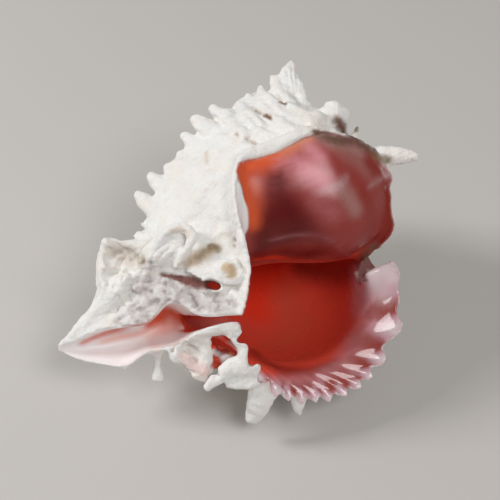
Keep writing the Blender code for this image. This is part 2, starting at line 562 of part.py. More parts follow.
def to_row(points):
    """Turn points or ways from the shell frame to the row's axes."""
    sight = np.array([0, -math.cos(SIGHT_RISE), math.sin(SIGHT_RISE)])
    over = np.array([0, math.sin(SIGHT_RISE), math.cos(SIGHT_RISE)])
    right = np.array([1.0, 0, 0])
    shell_x = right * math.sin(AXIS_TWIST) - over * math.cos(AXIS_TWIST)
    lengthwise = right * math.cos(AXIS_TWIST) + over * math.sin(AXIS_TWIST)
    shell_z = lengthwise * math.cos(CANAL_TILT) - sight * math.sin(CANAL_TILT)
    shell_y = -lengthwise * math.sin(CANAL_TILT) - sight * math.cos(CANAL_TILT)
    return points @ np.stack([shell_x, shell_y, shell_z])


def place(made):
    """Shell frame in millimetres to the row's frame in metres."""
    points = np.empty(len(made.data.vertices) * 3, np.float32)
    made.data.vertices.foreach_get("co", points)
    placed = to_row(points.reshape(-1, 3)) + np.array([*ORIGIN_SHIFT, AXIS_HEIGHT])
    made.data.vertices.foreach_set("co", (placed * METRES).astype(np.float32).ravel())
    made.data.update()


def applied(made):
    """The same object with its modifiers applied."""
    mesh = bpy.data.meshes.new_from_object(made.evaluated_get(bpy.context.evaluated_depsgraph_get()))
    made.modifiers.clear()
    made.data = mesh
    return made


def keep_largest(made):
    """Drop every loose patch of faces but the largest."""
    work = bmesh.new()
    work.from_mesh(made.data)
    seen, groups = set(), []
    for start in work.verts:
        if start in seen:
            continue
        seen.add(start)
        group, stack = [], [start]
        while stack:
            vertex = stack.pop()
            group.append(vertex)
            for edge in vertex.link_edges:
                other = edge.other_vert(vertex)
                if other not in seen:
                    seen.add(other)
                    stack.append(other)
        groups.append(group)
    groups.sort(key=len)
    for group in groups[:-1]:
        bmesh.ops.delete(work, geom=group, context="VERTS")
    work.to_mesh(made.data)
    work.free()


def joined(parts, name):
    """One object of all the parts' meshes, which may still overlap."""
    vertices, faces = [], []
    for piece in parts:
        start = len(vertices)
        vertices += [tuple(v.co) for v in piece.data.vertices]
        faces += [tuple(start + i for i in p.vertices) for p in piece.data.polygons]
        bpy.data.objects.remove(piece)
    mesh = bpy.data.meshes.new(name)
    mesh.from_pydata(vertices, [], faces)
    made = bpy.data.objects.new(name, mesh)
    bpy.context.scene.collection.objects.link(made)
    return made


def subtract(made, cutter):
    cutter.hide_render = True
    cutter.display_type = "WIRE"
    cut = made.modifiers.new("cut " + cutter.name, "BOOLEAN")
    cut.operation = "DIFFERENCE"
    cut.solver = "EXACT"
    cut.object = cutter


def fuse(made, voxel):
    """One clean skin round everything, parts that overlap included."""
    skin = made.modifiers.new("fuse", "REMESH")
    skin.mode = "VOXEL"
    skin.voxel_size = voxel * METRES
    keep_largest(applied(made))


def thin_out(made):
    """Fewer triangles, with the form kept."""
    made.data.calc_loop_triangles()
    fewer = made.modifiers.new("thin out", "DECIMATE")
    fewer.ratio = min(1.0, MOST_TRIANGLES / len(made.data.loop_triangles))


def wear_flat(made):
    """Set what thinning out has left just above the table top down on it."""
    for vertex in made.data.vertices:
        if vertex.co.z < FLAT_WITHIN * METRES:
            vertex.co.z = 0.0


def table():
    """All that lies below the table top, as a cutter."""
    size = 200 * METRES
    bpy.ops.mesh.primitive_cube_add(size=1, location=(0, 0, -TABLE_DEPTH * METRES / 2),
                                    scale=(size, size, TABLE_DEPTH * METRES))
    made = bpy.context.active_object
    made.name = "table_cutter"
    bpy.ops.object.transform_apply(location=True, scale=True)
    return made


def shell_material():
    made = bpy.data.materials.new("chalky white shell")
    made.use_nodes = True
    surface = made.node_tree.nodes["Principled BSDF"]
    surface.inputs["Base Color"].default_value = (0.86, 0.83, 0.78, 1)
    surface.inputs["Roughness"].default_value = 0.6
    surface.inputs["Metallic"].default_value = 0.0
    return made


def main():
    for old in list(bpy.data.objects):
        bpy.data.objects.remove(old)
    rings = mouth_rings()
    solids = [coil(), mouth_wall(rings), canal_block(), *left_rib_spines(), *rib_spines(), *rest_spines()]
    solids += [bar(name, *shape) for name, shape in BARS.items()]
    hollows = [bar(name, *shape) for name, shape in HOLLOWS.items()]
    hollows += [canal_air(), mouth_air(rings)]
    for made in solids + hollows:
        place(made)
    shell = joined(solids, "murex_shell")
    fuse(shell, BODY_VOXEL)
    air = joined(hollows, "air_cutter")
    fuse(air, AIR_VOXEL)
    subtract(shell, air)
    applied(shell)
    fuse(shell, SKIN_VOXEL)
    subtract(shell, table())
    applied(shell)
    thin_out(shell)
    wear_flat(applied(shell))
    shell.data.shade_smooth()
    shell.data.materials.clear()
    shell.data.materials.append(shell_material())
    return shell


if __name__ == "__main__":
    main()
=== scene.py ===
"""A pink-mouthed murex shell lying on its back, dressed for a picture.

The shell is one dense mesh, grown from the same curves as the solid that it stands for, with
finer relief, a chalky outside and a glazed red mouth. It lies on a plain pale floor.
"""

import math

import bmesh
import bpy
import numpy as np
from mathutils import Matrix, Vector
from mathutils.bvhtree import BVHTree


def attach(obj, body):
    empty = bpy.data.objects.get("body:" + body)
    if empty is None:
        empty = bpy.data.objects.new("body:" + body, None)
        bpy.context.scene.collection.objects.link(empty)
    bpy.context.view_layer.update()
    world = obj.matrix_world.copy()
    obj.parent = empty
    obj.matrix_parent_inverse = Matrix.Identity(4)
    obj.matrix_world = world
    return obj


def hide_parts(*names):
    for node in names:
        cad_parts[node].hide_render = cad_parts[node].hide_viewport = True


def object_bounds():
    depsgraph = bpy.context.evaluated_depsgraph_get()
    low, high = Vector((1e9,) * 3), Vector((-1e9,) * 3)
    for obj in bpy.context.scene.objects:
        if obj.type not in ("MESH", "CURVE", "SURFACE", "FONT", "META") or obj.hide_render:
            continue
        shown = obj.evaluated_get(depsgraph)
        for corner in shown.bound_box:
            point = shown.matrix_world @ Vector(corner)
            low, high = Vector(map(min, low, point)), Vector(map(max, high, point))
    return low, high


bl_info = {
    "name": "Murex shell",
    "version": (1, 0, 0),
    "blender": (4, 5, 0),
    "location": "3D View > Sidebar > Shell",
    "description": "A spiny sea shell with a glazed red mouth, on a plain stage",
    "category": "Add Mesh",
}

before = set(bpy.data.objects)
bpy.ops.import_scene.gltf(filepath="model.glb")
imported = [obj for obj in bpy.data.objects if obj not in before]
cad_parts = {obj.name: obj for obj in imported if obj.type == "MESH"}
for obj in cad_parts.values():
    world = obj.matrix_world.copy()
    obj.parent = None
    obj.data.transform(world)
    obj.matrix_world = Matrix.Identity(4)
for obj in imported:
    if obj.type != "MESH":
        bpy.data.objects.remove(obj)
CAD_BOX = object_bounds()
NODE = "murex_shell"

# A millimetre, in metres.
METRES = 0.001

# How it lies: the sight line into the mouth, and where the shell's own origin stands. Sizes are
# in millimetres and places in the shell's own axes, unless a comment says otherwise.
SIGHT_RISE = math.radians(44)
AXIS_TWIST = math.radians(27)
CANAL_TILT = math.radians(18)
AXIS_HEIGHT = 44.5
ORIGIN = np.array([3.05, -2.6, AXIS_HEIGHT])
TO_EYE = np.array([0, -math.cos(CANAL_TILT), -math.sin(CANAL_TILT)])

# The picture: its axes in the frame, how far the eye is, and where the shell's origin shows.
RIGHT = np.array([1.0, 0, 0])
OVER = np.array([0, math.sin(SIGHT_RISE), math.cos(SIGHT_RISE)])
TOWARDS = np.array([0, -math.cos(SIGHT_RISE), math.sin(SIGHT_RISE)])
EYE_DISTANCE, MM_PER_PIXEL, PHOTO_SIZE = 430.0, 0.3, 500
ORIGIN_PIXEL = (249.4, 225.65)
MIDDLE = (
    ORIGIN
    - RIGHT * ((ORIGIN_PIXEL[0] - PHOTO_SIZE / 2) * MM_PER_PIXEL)
    - OVER * ((PHOTO_SIZE / 2 - ORIGIN_PIXEL[1]) * MM_PER_PIXEL)
)
EYE = (MIDDLE + TOWARDS * EYE_DISTANCE) * METRES

# The coil. A turn is counted in degrees back from the lip. A section is (radius, height)
# from the top of the ramp, over the shoulder and down to the base.
LIP_AZIMUTH = -10.0
HALF_TURN, WHOLE_TURN, OLDEST_TURN = 187.0, 360.0, 1150.0
# How much a whorl grows in a whole turn, and where the apex is on the axis.
WHORL_RATIO = 2.2
APEX_HEIGHT = 48.0
SECTION_AT_LIP = (
    (0, 33.5), (15, 31.5), (28, 28), (39, 23.5), (46, 14.5), (48.5, 3),
    (46, -9), (40, -18.5), (31, -27), (22, -35), (12, -43), (0, -46),
)
SECTION_HALF_BACK = (
    (0, 41), (8, 40.5), (18, 36), (28, 29), (33, 20.5), (31, 11),
    (29.5, 1), (26, -8), (21.5, -16.5), (15, -24), (8, -30), (0, -33),
)
SECTION_TURN_BACK = (
    (0, 44), (6, 43.5), (12, 40), (18, 34), (20.5, 27), (20.5, 20.5),
    (18.5, 14.5), (15.5, 8.5), (12, 2), (9.5, -6), (8, -15), (0, -20),
)
SECTION_POINTS = 60
# The coil's rings: from, to and step, in degrees of turn. They keep a little off the axis.
COIL_TURNS = ((2, 400, 4), (400, OLDEST_TURN, 10))
AXIS_GAP = 0.02

# The hollow whorl: the wall's thickness at the lip, its least share and the share that grows, the
# glaze on the whorl inside it, how far back the hollow runs, and the step between its rings.
WALL, WALL_LEAST, WALL_GROWING = 3.2, 0.4, 0.6
GLAZE = 2.0
CAVITY_END, CAVITY_STEP = 236.0, 8
# Its section: which points of the older whorl's section give its top, and how far the top stands
# out. Then its base by the pillar, and which points of the two whorls' sections its walls take.
TOP_PLACE, TOP_LEVEL, TOP_OUT = 22, 20, 2.2
BASE_RADIUS, BASE_DROP = 12.5, 0.5
OUTER_WALL_FROM, OUTER_WALL_WIDE, OUTER_WALL_BELOW = 21, 30, 1.5
INNER_WALL_FROM, INNER_WALL_BELOW, INNER_WALL_ABOVE = 8, 2.5, 9

# Ribs, where the shell paused and thickened its lip: turn, height, share of full spines, and
# whether it has its own shoulder spine.
RIBS = (
    (8, 3.6, 0, False), (40, 3.6, 1, False), (84, 3.6, 1, True), (134, 3.6, 1, True),
    (187, 4.2, 0, False), (231, 1.2, 0, False), (276, 3.0, 0, False), (322, 3.6, 0.8, True),
    (368, 3.6, 0, False), (414, 3.6, 1, True), (460, 3.6, 1, True), (506, 3.6, 1, True),
    (552, 3.6, 1, True), (598, 3.6, 1, True), (644, 3.6, 0, False),
)
RIB_WIDTH = 7.5
# Ribs and cords show on this share of a section. The cords fade towards its far end.
RIBBED_FROM, RIBBED_TO, RIBBED_FADES = 0.2, 0.93, (0.08, 0.1)
CORD_COUNT, CORD_HEIGHT, CORD_SPAN, CORD_FADE = 11, 1.5, 0.7, 1.15

# The rim of the mouth: the inner lip from the foot of the pillar round to the notch behind,
# then the outer lip from the notch round to the canal, with the points of its scallops.
INNER_RIM = (
    (22.5, -19, -20), (17.5, -20.5, -16), (11.5, -21, -12.5), (3, -23, -10.5), (-4, -24, -9),
    (-10.5, -24, -6.5), (-15, -23, -3), (-17.5, -21.5, 1), (-17.5, -22, 5), (-17, -23, 9.5),
    (-16, -25.5, 17.5), (-13.5, -26.5, 24), (-9.5, -26.5, 29.5), (-3.5, -23, 36), (2, -20.5, 39.5),
    (6.5, -19, 39.5), (10, -17, 38.2), (13.4, -16, 36.8), (16.3, -15, 36.2), (19, -14, 36),
    (20.9, -12.5, 34), (22.2, -10, 31.5), (23.2, -6, 28.8), (24.5, -2, 26.5), (27, 3, 25.2),
)
OUTER_RIM = (
    (27, 3, 25.2), (29.7, 1.5, 24), (31.0, -3.3, 22.8), (30.9, -7.6, 25.6), (30.4, -8.6, 29.8),
    (32.2, -8.2, 30.4), (35.0, -7, 30.4), (38.5, -6, 30.3), (42.1, -6, 28.9), (45.0, -6, 26.4),
    (47.8, -6, 22), (51.5, -6.5, 17), (54.2, -6.5, 11), (56, -6.5, 5.5), (55.6, -6, 0),
    (54, -6.5, -6), (51, -7, -12), (46.5, -8, -17), (42, -9, -20), (37, -10, -21),
    (31.5, -11, -21.5), (26.5, -13, -21.5), (23.5, -16, -21),
)
SCALLOP_TIPS = (0.158, 0.335, 0.434, 0.49, 0.527, 0.569, 0.614, 0.65, 0.688, 0.724, 0.763,
                0.818, 0.87, 0.94)
# How far the scallops stand out, how deep the flutes behind them are, the share of a scallop that
# slopes down, the part of the wave that leaves the rim where it is, and where the flutes end.
SCALLOP_REACH, SCALLOP_DEPTH, SCALLOP_SLOPE, SCALLOP_MIDDLE = 2.3, 1.3, 0.76, 0.35
FLUTE_RUN = 0.7
# Where the wave fades in and out along the outer lip, and where the outer lip's form does.
WAVE_FADES, OUTER_FADES = ((0, 0.15), (0.97, 0.03)), ((0, 0.14), (1, 0.16))
# The torn edge of the inner lip: the share where it starts and ends, and its lumps, as size,
# seed and height.
TORN_START, TORN_END = (0.62, 0.06), (0.97, 0.05)
TORN_LUMPS = ((3.6, 11, 0.9), (1.5, 12, 0.35))
LIP_EDGE = 1.4
# Points along the inner and the outer lip.
INNER_PLACES, OUTER_PLACES = 80, 180
# The turn where the mouth's rings end, and their shares of the way there.
MOUTH_END = 14.0
MOUTH_STEPS = (0, 0.05, 0.11, 0.18, 0.26, 0.35, 0.45, 0.56, 0.68, 0.84, 1.0)
# How far in the flange of the inner lip runs, and how far round the whorl its skirt reaches.
FLANGE_RUN, FLANGE_SKIRT = 3.6, 5.0
# How soon the flange falls to the whorl: more slowly where it stands further off, and how sharply.
FLANGE_SPREAD, FLANGE_FALL = 0.3, 1.6
# How far the lip's curve leans from the rim and from the hollow, as shares of its length, and how
# little of that is sideways.
RIM_LEAN, DEEP_LEAN, SIDE_LEAN = 0.45, 0.4, 0.35
# The back of the lip: its steps, how it leans, the turn where it meets the whorl, and where the
# whorl's section is met.
BACK_STEPS = (0.12, 0.25, 0.4, 0.55, 0.7, 0.85, 1.0)
EDGE_LEAN, ROOT_LEAN = 0.4, 0.45
LIP_ROOT = 32.0
ROOT_FROM_RADIUS, ROOT_BELOW = 20, 29
# Where the skirt of the inner lip ends, and how deep the wall's foot, root and core lie inside
# the whorl, no nearer to the axis than the least radius.
SKIRT_END = (0.62, 0.1)
FOOT_SINK, ROOT_SINK, CORE_SINK, LEAST_RADIUS = 1.5, 0.8, 4, 0.5
# The wall left standing in the mouth for the air to cut away, and how far the air reaches out.
SPARE = 1.6
AIR_REACH = 45.0

# The canal: lines along its outside from the tip to the mouth, corner by corner.
CANAL_OUTSIDE = {
    "left edge": ((6.4, 10, -66.8), (7.0, 6, -60.3), (7.6, 2, -53.8), (9.6, -2, -48.5),
                  (11.8, -6, -42.3), (9.0, -8.5, -34.7), (16.2, -14.5, -30.0), (21.0, -18.5, -19.5)),
    "left face": ((6.2, 10, -66.6), (5.0, 8, -59), (2.7, 4, -51.5), (1.9, 0, -46.0),
                  (3.5, -5, -40.9), (3.5, -7, -34.8), (9, -9, -27.0), (13, -12, -18.0)),
    "ridge": ((6.2, 10.4, -66.4), (3.1, 10, -58.1), (-1.1, 8, -50.4), (-6.4, 5, -44.4),
              (-9.5, 0, -39.1), (-6.3, -4, -32.5), (-1, -5, -25.1), (3, -8, -15.7)),
    "back left": ((6.6, 11, -66.4), (5, 13, -58), (0, 14, -50), (-5, 13, -44),
                  (-8, 12, -38), (-6, 13, -31), (-4, 13, -22), (0, 12, -12)),
    "back right": ((7.2, 11, -66.6), (10, 13, -60), (12, 15, -52), (14, 17, -46),
                   (16, 18, -40), (19, 18, -33), (22, 16, -25), (24, 12, -15)),
    "right edge": ((7.4, 10, -66.8), (12.9, 9.5, -62.3), (17.5, 7.4, -56.8), (20.7, 5.4, -52.4),
                   (20.2, 1.6, -45.2), (22.2, -2, -39.2), (22.9, -7, -31.8), (26.0, -12, -22.5)),
    "over the slit": ((6.9, 9.6, -66.9), (9.8, 6.5, -61.2), (12.5, 3.5, -55.0), (14.6, 0.5, -50.2),
                      (15.8, -3.5, -43.6), (15.6, -6.5, -36.8), (19.5, -12, -30.8), (23.8, -16.5, -20.9)),
}
CANAL_INSIDE = {
    "left edge": ((6.9, 9.4, -67.4), (7.5, 6, -60.3), (8.2, 2, -53.8), (10.3, -2, -48.5), (12.5, -6, -42.3),
                  (9.7, -8, -34.7), (17.0, -14, -30.2), (22.4, -18, -20.4), (27, -15, -15)),
    "under left": ((7.0, 9.8, -67.4), (7.6, 9, -60.3), (8.4, 7, -53.8), (9.5, 5, -48.0), (11, 3, -42.0),
                   (9.7, 1, -34.7), (16.0, -4, -29.2), (20.6, -9, -19.4), (24, -5, -12)),
    "floor": ((7.2, 10.0, -67.4), (9.6, 10.8, -60.9), (11.5, 10.5, -54.8), (13, 10, -49.8), (15, 9, -43),
              (15, 8, -36), (19.0, 4, -29.5), (23.6, -2, -19), (27, -2, -12)),
    "right edge": ((7.4, 9.4, -67.4), (12.3, 9, -62.1), (16.9, 7, -56.6), (20, 5, -52), (19.1, 1, -44.7),
                   (21.1, -3, -38.8), (20.6, -9, -31.0), (23.3, -16, -21.2), (29, -14, -15)),
}
# Rings of the canal's solid and points for each of its lines, and rows of its floor and points
# across it.
BLOCK_ROWS, BLOCK_PLACES, FLOOR_ROWS, FLOOR_PLACES = 26, 6, 30, 12

# Bars: bent lumps and spines. Each is a path, its half widths along the path and how flat it is.
# Its flat side faces the eye, unless another way is given.
TOWARDS_EYE = (0, -1, -0.3)
BARS = {
    "big shoulder spine": (((-24, -13, 27.5), (-29.5, -10, 28.6), (-34, -7, 30.2), (-39.7, -5, 35)),
                           (2.6, 3.7, 3.4, 0.4), 0.5),
    "shoulder fold": (((-24.5, -14.5, 24), (-32, -8, 24.8), (-37.2, -4.5, 26.9)), (2.2, 3.0, 1.3), 0.8),
    "second fold": (((-24.5, -16, 18.3), (-31, -7.2, 19.8), (-36.6, -1.2, 23)), (2.8, 3.3, 0.9), 0.8),
    "small tooth": (((-31, -4, 16.5), (-36, -0.5, 18.6)), (2.6, 0.8), 0.8),
    "third fold": (((-22.5, -17, 10.6), (-28.8, -8.4, 12), (-34, -1.5, 15.5)), (2.8, 3.2, 1.4), 0.8),
    "fourth fold": (((-23, -16, 6.0), (-28, -8, 7.2), (-34, -0.5, 10)), (2.2, 2.6, 1.4), 0.8),
    "knob spine": (((-12.5, -16, 26), (-16.2, -18, 31.5), (-19, -18, 35.2)), (4.8, 5.3, 4.3), 0.7),
    "knob fold": (((-14, -20, 18.5), (-18.4, -21.4, 23.5), (-18.8, -21, 28)), (3.0, 2.7, 2.2), 0.8),
    "right shoulder spine": (((-3, -14, 33), (-1, -18.5, 39), (2, -22, 44.5), (4.6, -24, 48.5)),
                             (3.2, 3.0, 3.1, 1.1), 0.7),
    "canal finger": (((20, 0.5, -42), (24.4, 4, -43.7), (28.2, 5, -45.1)), (1.6, 1.0, 1.9), 0.9),
    "canal thorn": (((16, 6, -50.5), (20, 5.5, -52), (21.5, 5.5, -52.8)), (2.0, 1.0, 0.4), 0.6),
    "canal ridge": (((6.6, 9.6, -65.6), (5.0, 7.0, -57.3), (2.0, 3.2, -50.4), (0.2, -0.8, -46.0),
                     (-3.4, -2.4, -41.2)), (1.2, 2.6, 3.2, 3.2, 2.6), 0.7),
    "old canal rim": (((1.4, 2, -51.2), (-2.4, -0.5, -48.4), (-7.2, -0.4, -47.0),
                       (-10.5, -0.8, -44.5), (-14.4, -1, -41.8), (-12.3, -1.6, -38.4),
                       (-9.5, -2.6, -34), (-7, -3.5, -29)), (1.2, 1.0, 1.0, 1.3, 1.0, 1.4, 1.6, 2.0),
                      0.8),
    "old canal web": (((1, 3, -48), (-4.5, 1.6, -45.2), (-9.6, 1.2, -42), (-6, 0, -35)),
                      (3.4, 4.0, 4.0, 5.0), 0.6),
    "frill ridge": (((20.6, -11.5, -27.6), (21.6, -13.2, -24.3), (25.8, -12.8, -22.9),
                     (30.5, -12, -21.8), (35, -11, -22), (39.2, -9.6, -21.6)),
                    (1.7, 2.3, 2.6, 2.4, 2.7, 2.4), 0.75),
    "frill spine": (((36, -9.5, -22), (34.6, -8.4, -28), (36.6, -5.3, -36.2)), (3.6, 2.8, 1.3), 0.6),
    "frill fold": (((41, -8.5, -21.5), (40.6, -8, -25), (38.4, -6.5, -30.5)), (2.4, 1.7, 1.1), 0.8),
    "frill arch": (((21.5, -12.5, -26), (20.8, -10.5, -29.3), (22.6, -8, -30.7), (25.6, -7, -29.8)),
                   (1.9, 1.7, 1.6, 1.4), 0.9),
    "upper lobe": (((24.6, -6, -31.2), (21.0, -5.6, -33.6), (20.9, -4, -37.6), (24.2, -3, -38.6),
                    (26.6, -4, -35.2)), (1.6, 1.9, 2.2, 2.4, 1.6), 0.9),
    "lower lobe": (((25, -3.4, -38), (28.4, -3.2, -36), (31.6, -3, -35.8), (34.6, -3, -34)),
                   (2.2, 2.0, 1.9, 1.1), 0.9),
    "inner lobe": (((24.4, -6.5, -30.8), (28.2, -5.6, -31.4), (30.6, -4.6, -32.8), (32, -4, -34.4)),
                   (1.7, 2.1, 1.9, 1.4), 0.9),
    "lobe tooth": (((27, -6.2, -31), (29.4, -6.4, -29.2)), (1.5, 0.7), 0.9),
    "frill bed": (((24, -2, -31), (28, -2.4, -33), (32, -2.4, -31)), (3.2, 3.6, 3.0), 0.7),
    "flat spine": (((43, -6, -19), (48, -4, -24), (52, 0.5, -27)), (4.6, 3.8, 2.2), 0.45),
    "short spine": (((49, -5, -11), (54, -3.5, -13), (57, -2, -13.3)), (3.0, 2.2, 0.8), 0.6),
    "curl rim": (((-6.4, -9.4, -30.4), (-8.6, -11.3, -28.2), (-8.8, -13.2, -24.9),
                  (-7.1, -14.9, -22.3), (-4.2, -15.9, -22.0), (-2.2, -15, -24.2), (-0.4, -12, -26.2),
                  (1.2, -9.6, -28.8)), (1.1, 1.3, 1.4, 1.5, 1.5, 1.4, 1.3, 1.0), 1.0),
    "curl back": (((-5.5, -4, -22), (-3.5, -7, -24.5), (0.5, -5.5, -28)), (6.4, 6.0, 4.6), 0.7),
    "curl fan": (((-4.8, -10.6, -25), (-4.8, -8.4, -29.4), (-3.2, -6.0, -34.5), (-0.6, -4.8, -38.5)),
                 (4.6, 4.6, 3.8, 1.8), 0.45),
    "pillar bed": (((-7, -8, -15), (-1, -9, -19), (5, -9.5, -20.5), (12, -12, -20)),
                   (5.5, 6.5, 6.5, 6.0), 0.8),
    "pillar flank": (((-13, -10, -5), (-3, -11, -12), (7, -12, -16)), (6.5, 7.0, 6.0), 0.6),
    "pillar disc": (((8.5, -13, -18.4), (8.9, -18.2, -17.2)), (4.2, 3.2), 0.9, (0, 0, 1)),
    "disc rim": (((7.2, -18.4, -13.9), (10.4, -18.8, -14.6), (12.4, -18.6, -17.0),
                  (11.6, -17.2, -20.2)), (0.9, 1.2, 1.3, 0.9), 1.0),
}
# A bar's sides, its rings for each point of the path, and how its rounded ends narrow and reach.
BAR_SIDES, BAR_RINGS = 12, 5
START_WIDTH, END_WIDTH, END_REACH = 0.5, 0.55, 0.5

# The spines that stand up along the left rib: how each runs from the flank over the crest, from
# its tip, its half widths, and the tips themselves.
RIB_FOLD_INNER, RIB_FOLD_ROOT, RIB_FOLD_NECK = (12.5, -8.5, 5.2), (8.0, -3.0, 2.8), (3.4, -1.0, 1.1)
RIB_FOLD_WIDTHS, RIB_FOLD_FLATNESS = (2.6, 3.5, 3.1, 1.5), 0.85
LEFT_RIB_TIPS = (
    (-37, 1, 6.5), (-36.8, 1, 0), (-33.4, 2, -5), (-28.9, 2, -9), (-27.4, 3, -14), (-26.9, 3, -19.6),
    (-23.4, 4, -25.5), (-14.9, 4, -27), (-12.3, 4, -31.2),
)
# Spines of the other ribs: place along the section, and length on the last whorl. The first
# is the shoulder spine.
RIB_SPINES = (
    (0.30, 12.0), (0.37, 4.0), (0.43, 3.0), (0.49, 4.5), (0.55, 4.5), (0.60, 4.0),
    (0.65, 3.5), (0.70, 4.5), (0.75, 6.0), (0.80, 6.0), (0.85, 4.0),
)
# How the spines sweep up, the smallest whorl that has any, how deep they root, how far a thick rib
# lifts them, and how they widen with length, taper, flatten and bend.
SPINE_SWEEP = 0.15
SMALLEST_RIB = 0.25
SPINE_ROOT, SPINE_ON_RIB = 2.5, 0.7
SPINE_WIDTH, SPINE_WIDENING, SPINE_TAPER, SPINE_TIP, SPINE_FLATNESS = 2.2, 0.16, 0.7, 0.5, 0.8
SPINE_BEND = 0.6
# The spines that the shell lies on, as turn and place. They reach a little below the table.
REST_SPINES = ((40, 0.31), (40, 0.62), (84, 0.31), (84, 0.47))
REST_ROOT, REST_LEAN, REST_WIDTHS, REST_FLATNESS = 3, 0.12, (5.2, 4.0, 2.3), 0.9
# How far below the table they would reach, before they are worn flat.
WORN = 0.9
# The flat sides of all these spines face along the axis.
UPWARDS = (0, 0, 1)

# Hollows besides the mouth: path, half widths, flatness and, if it isn't the eye's, flat way.
HOLLOWS = {
    "umbilicus": (((10.5, -24, -24), (10.8, -10, -21.5), (11, -2, -18.5)), (3.0, 2.8, 1.6),
                  0.55, (0.7, 0, -0.7)),
    "umbilical groove": (((11, -12.3, -22.6), (6.8, -10, -26.8), (2.9, -8.6, -31), (-1, -7.0, -34)),
                         (2.4, 2.4, 1.8, 1.0), 1.0),
    "slope of the lip's tip": (((27, -7, 23.9), (26.5, -9, 30.7), (26.3, -9.5, 33.7)),
                               (1.6, 2.2, 2.2), 2.2),
    "gap in the frill": (((28, 2, -23), (29.5, -7, -28.5), (33, -15, -34)), (2.6, 1.9, 2.2),
                         0.7, (1, 0, 0)),
}

# The mesh: the first skin is coarser than the last, the voxels' steps are smoothed away in a
# number of rounds, and the chalk keeps more of its form than the glaze.
FIRST_SKIN = 1.2
SMOOTH_ROUNDS, CHALK_SMOOTHING = 12, 0.25
# How far the mouth's broad forms may shift as they are evened out, and in how many rounds.
CALM_MOST, CALM_ROUNDS, CALM_EDGE_ROUNDS = 1.1, 240, 6
# Where that starts inside the inner and the outer rim, and over what length.
CALM_INNER, CALM_OUTER = (0.8, 2.6), (6, 4)

# The glaze: how near the mouth's own surface it lies, over what it fades, and how many rounds soften
# its edge for the relief. From the mouth's deepest rings on, the outside of the wall is told from
# the inside by the cosine that it makes with the way out of the hollow.
GLAZE_WITHIN, GLAZE_FADE, GLAZE_EDGE_ROUNDS = 0.45, 0.5, 2
DEEPEST_RINGS, FACES_AWAY = 2, 0.1

# Relief of the chalk: lumps as size, seed and height, and growth lines as their number for each
# degree, their height, and the lumps that sway them.
CHALK_LUMPS = ((3.4, 1, 0.32), (1.7, 2, 0.26), (0.9, 3, 0.12))
LINE_COUNT, LINE_HEIGHT = 1.9, 0.05
LINE_LUMPS = ((9.0, 4, 2.0), (3.0, 5, 0.8))
PIT_LUMPS, PIT_LEVEL, PIT_DEPTH = ((1.5, 6, 1.0), (0.8, 7, 0.6)), 0.05, 1.2
PITTED_LUMPS = ((2.1, 8, 0.55),)
# The grain of the ash colour: its share everywhere, in the pits and in lumps of size and seed.
# The extra ash in the pits is painted shade.
ASH_SHARE, ASH_SHADE_IN_PITS, ASH_LUMPS = 0.5, 0.9, ((2.6, 9, 0.35),)
# Multipliers that mix a cell's place and a seed into noise.
CELL_MIXERS, SEED_MIXER, LAST_MIXER = (73856093, 19349663, 83492791), 97911, 1274126177

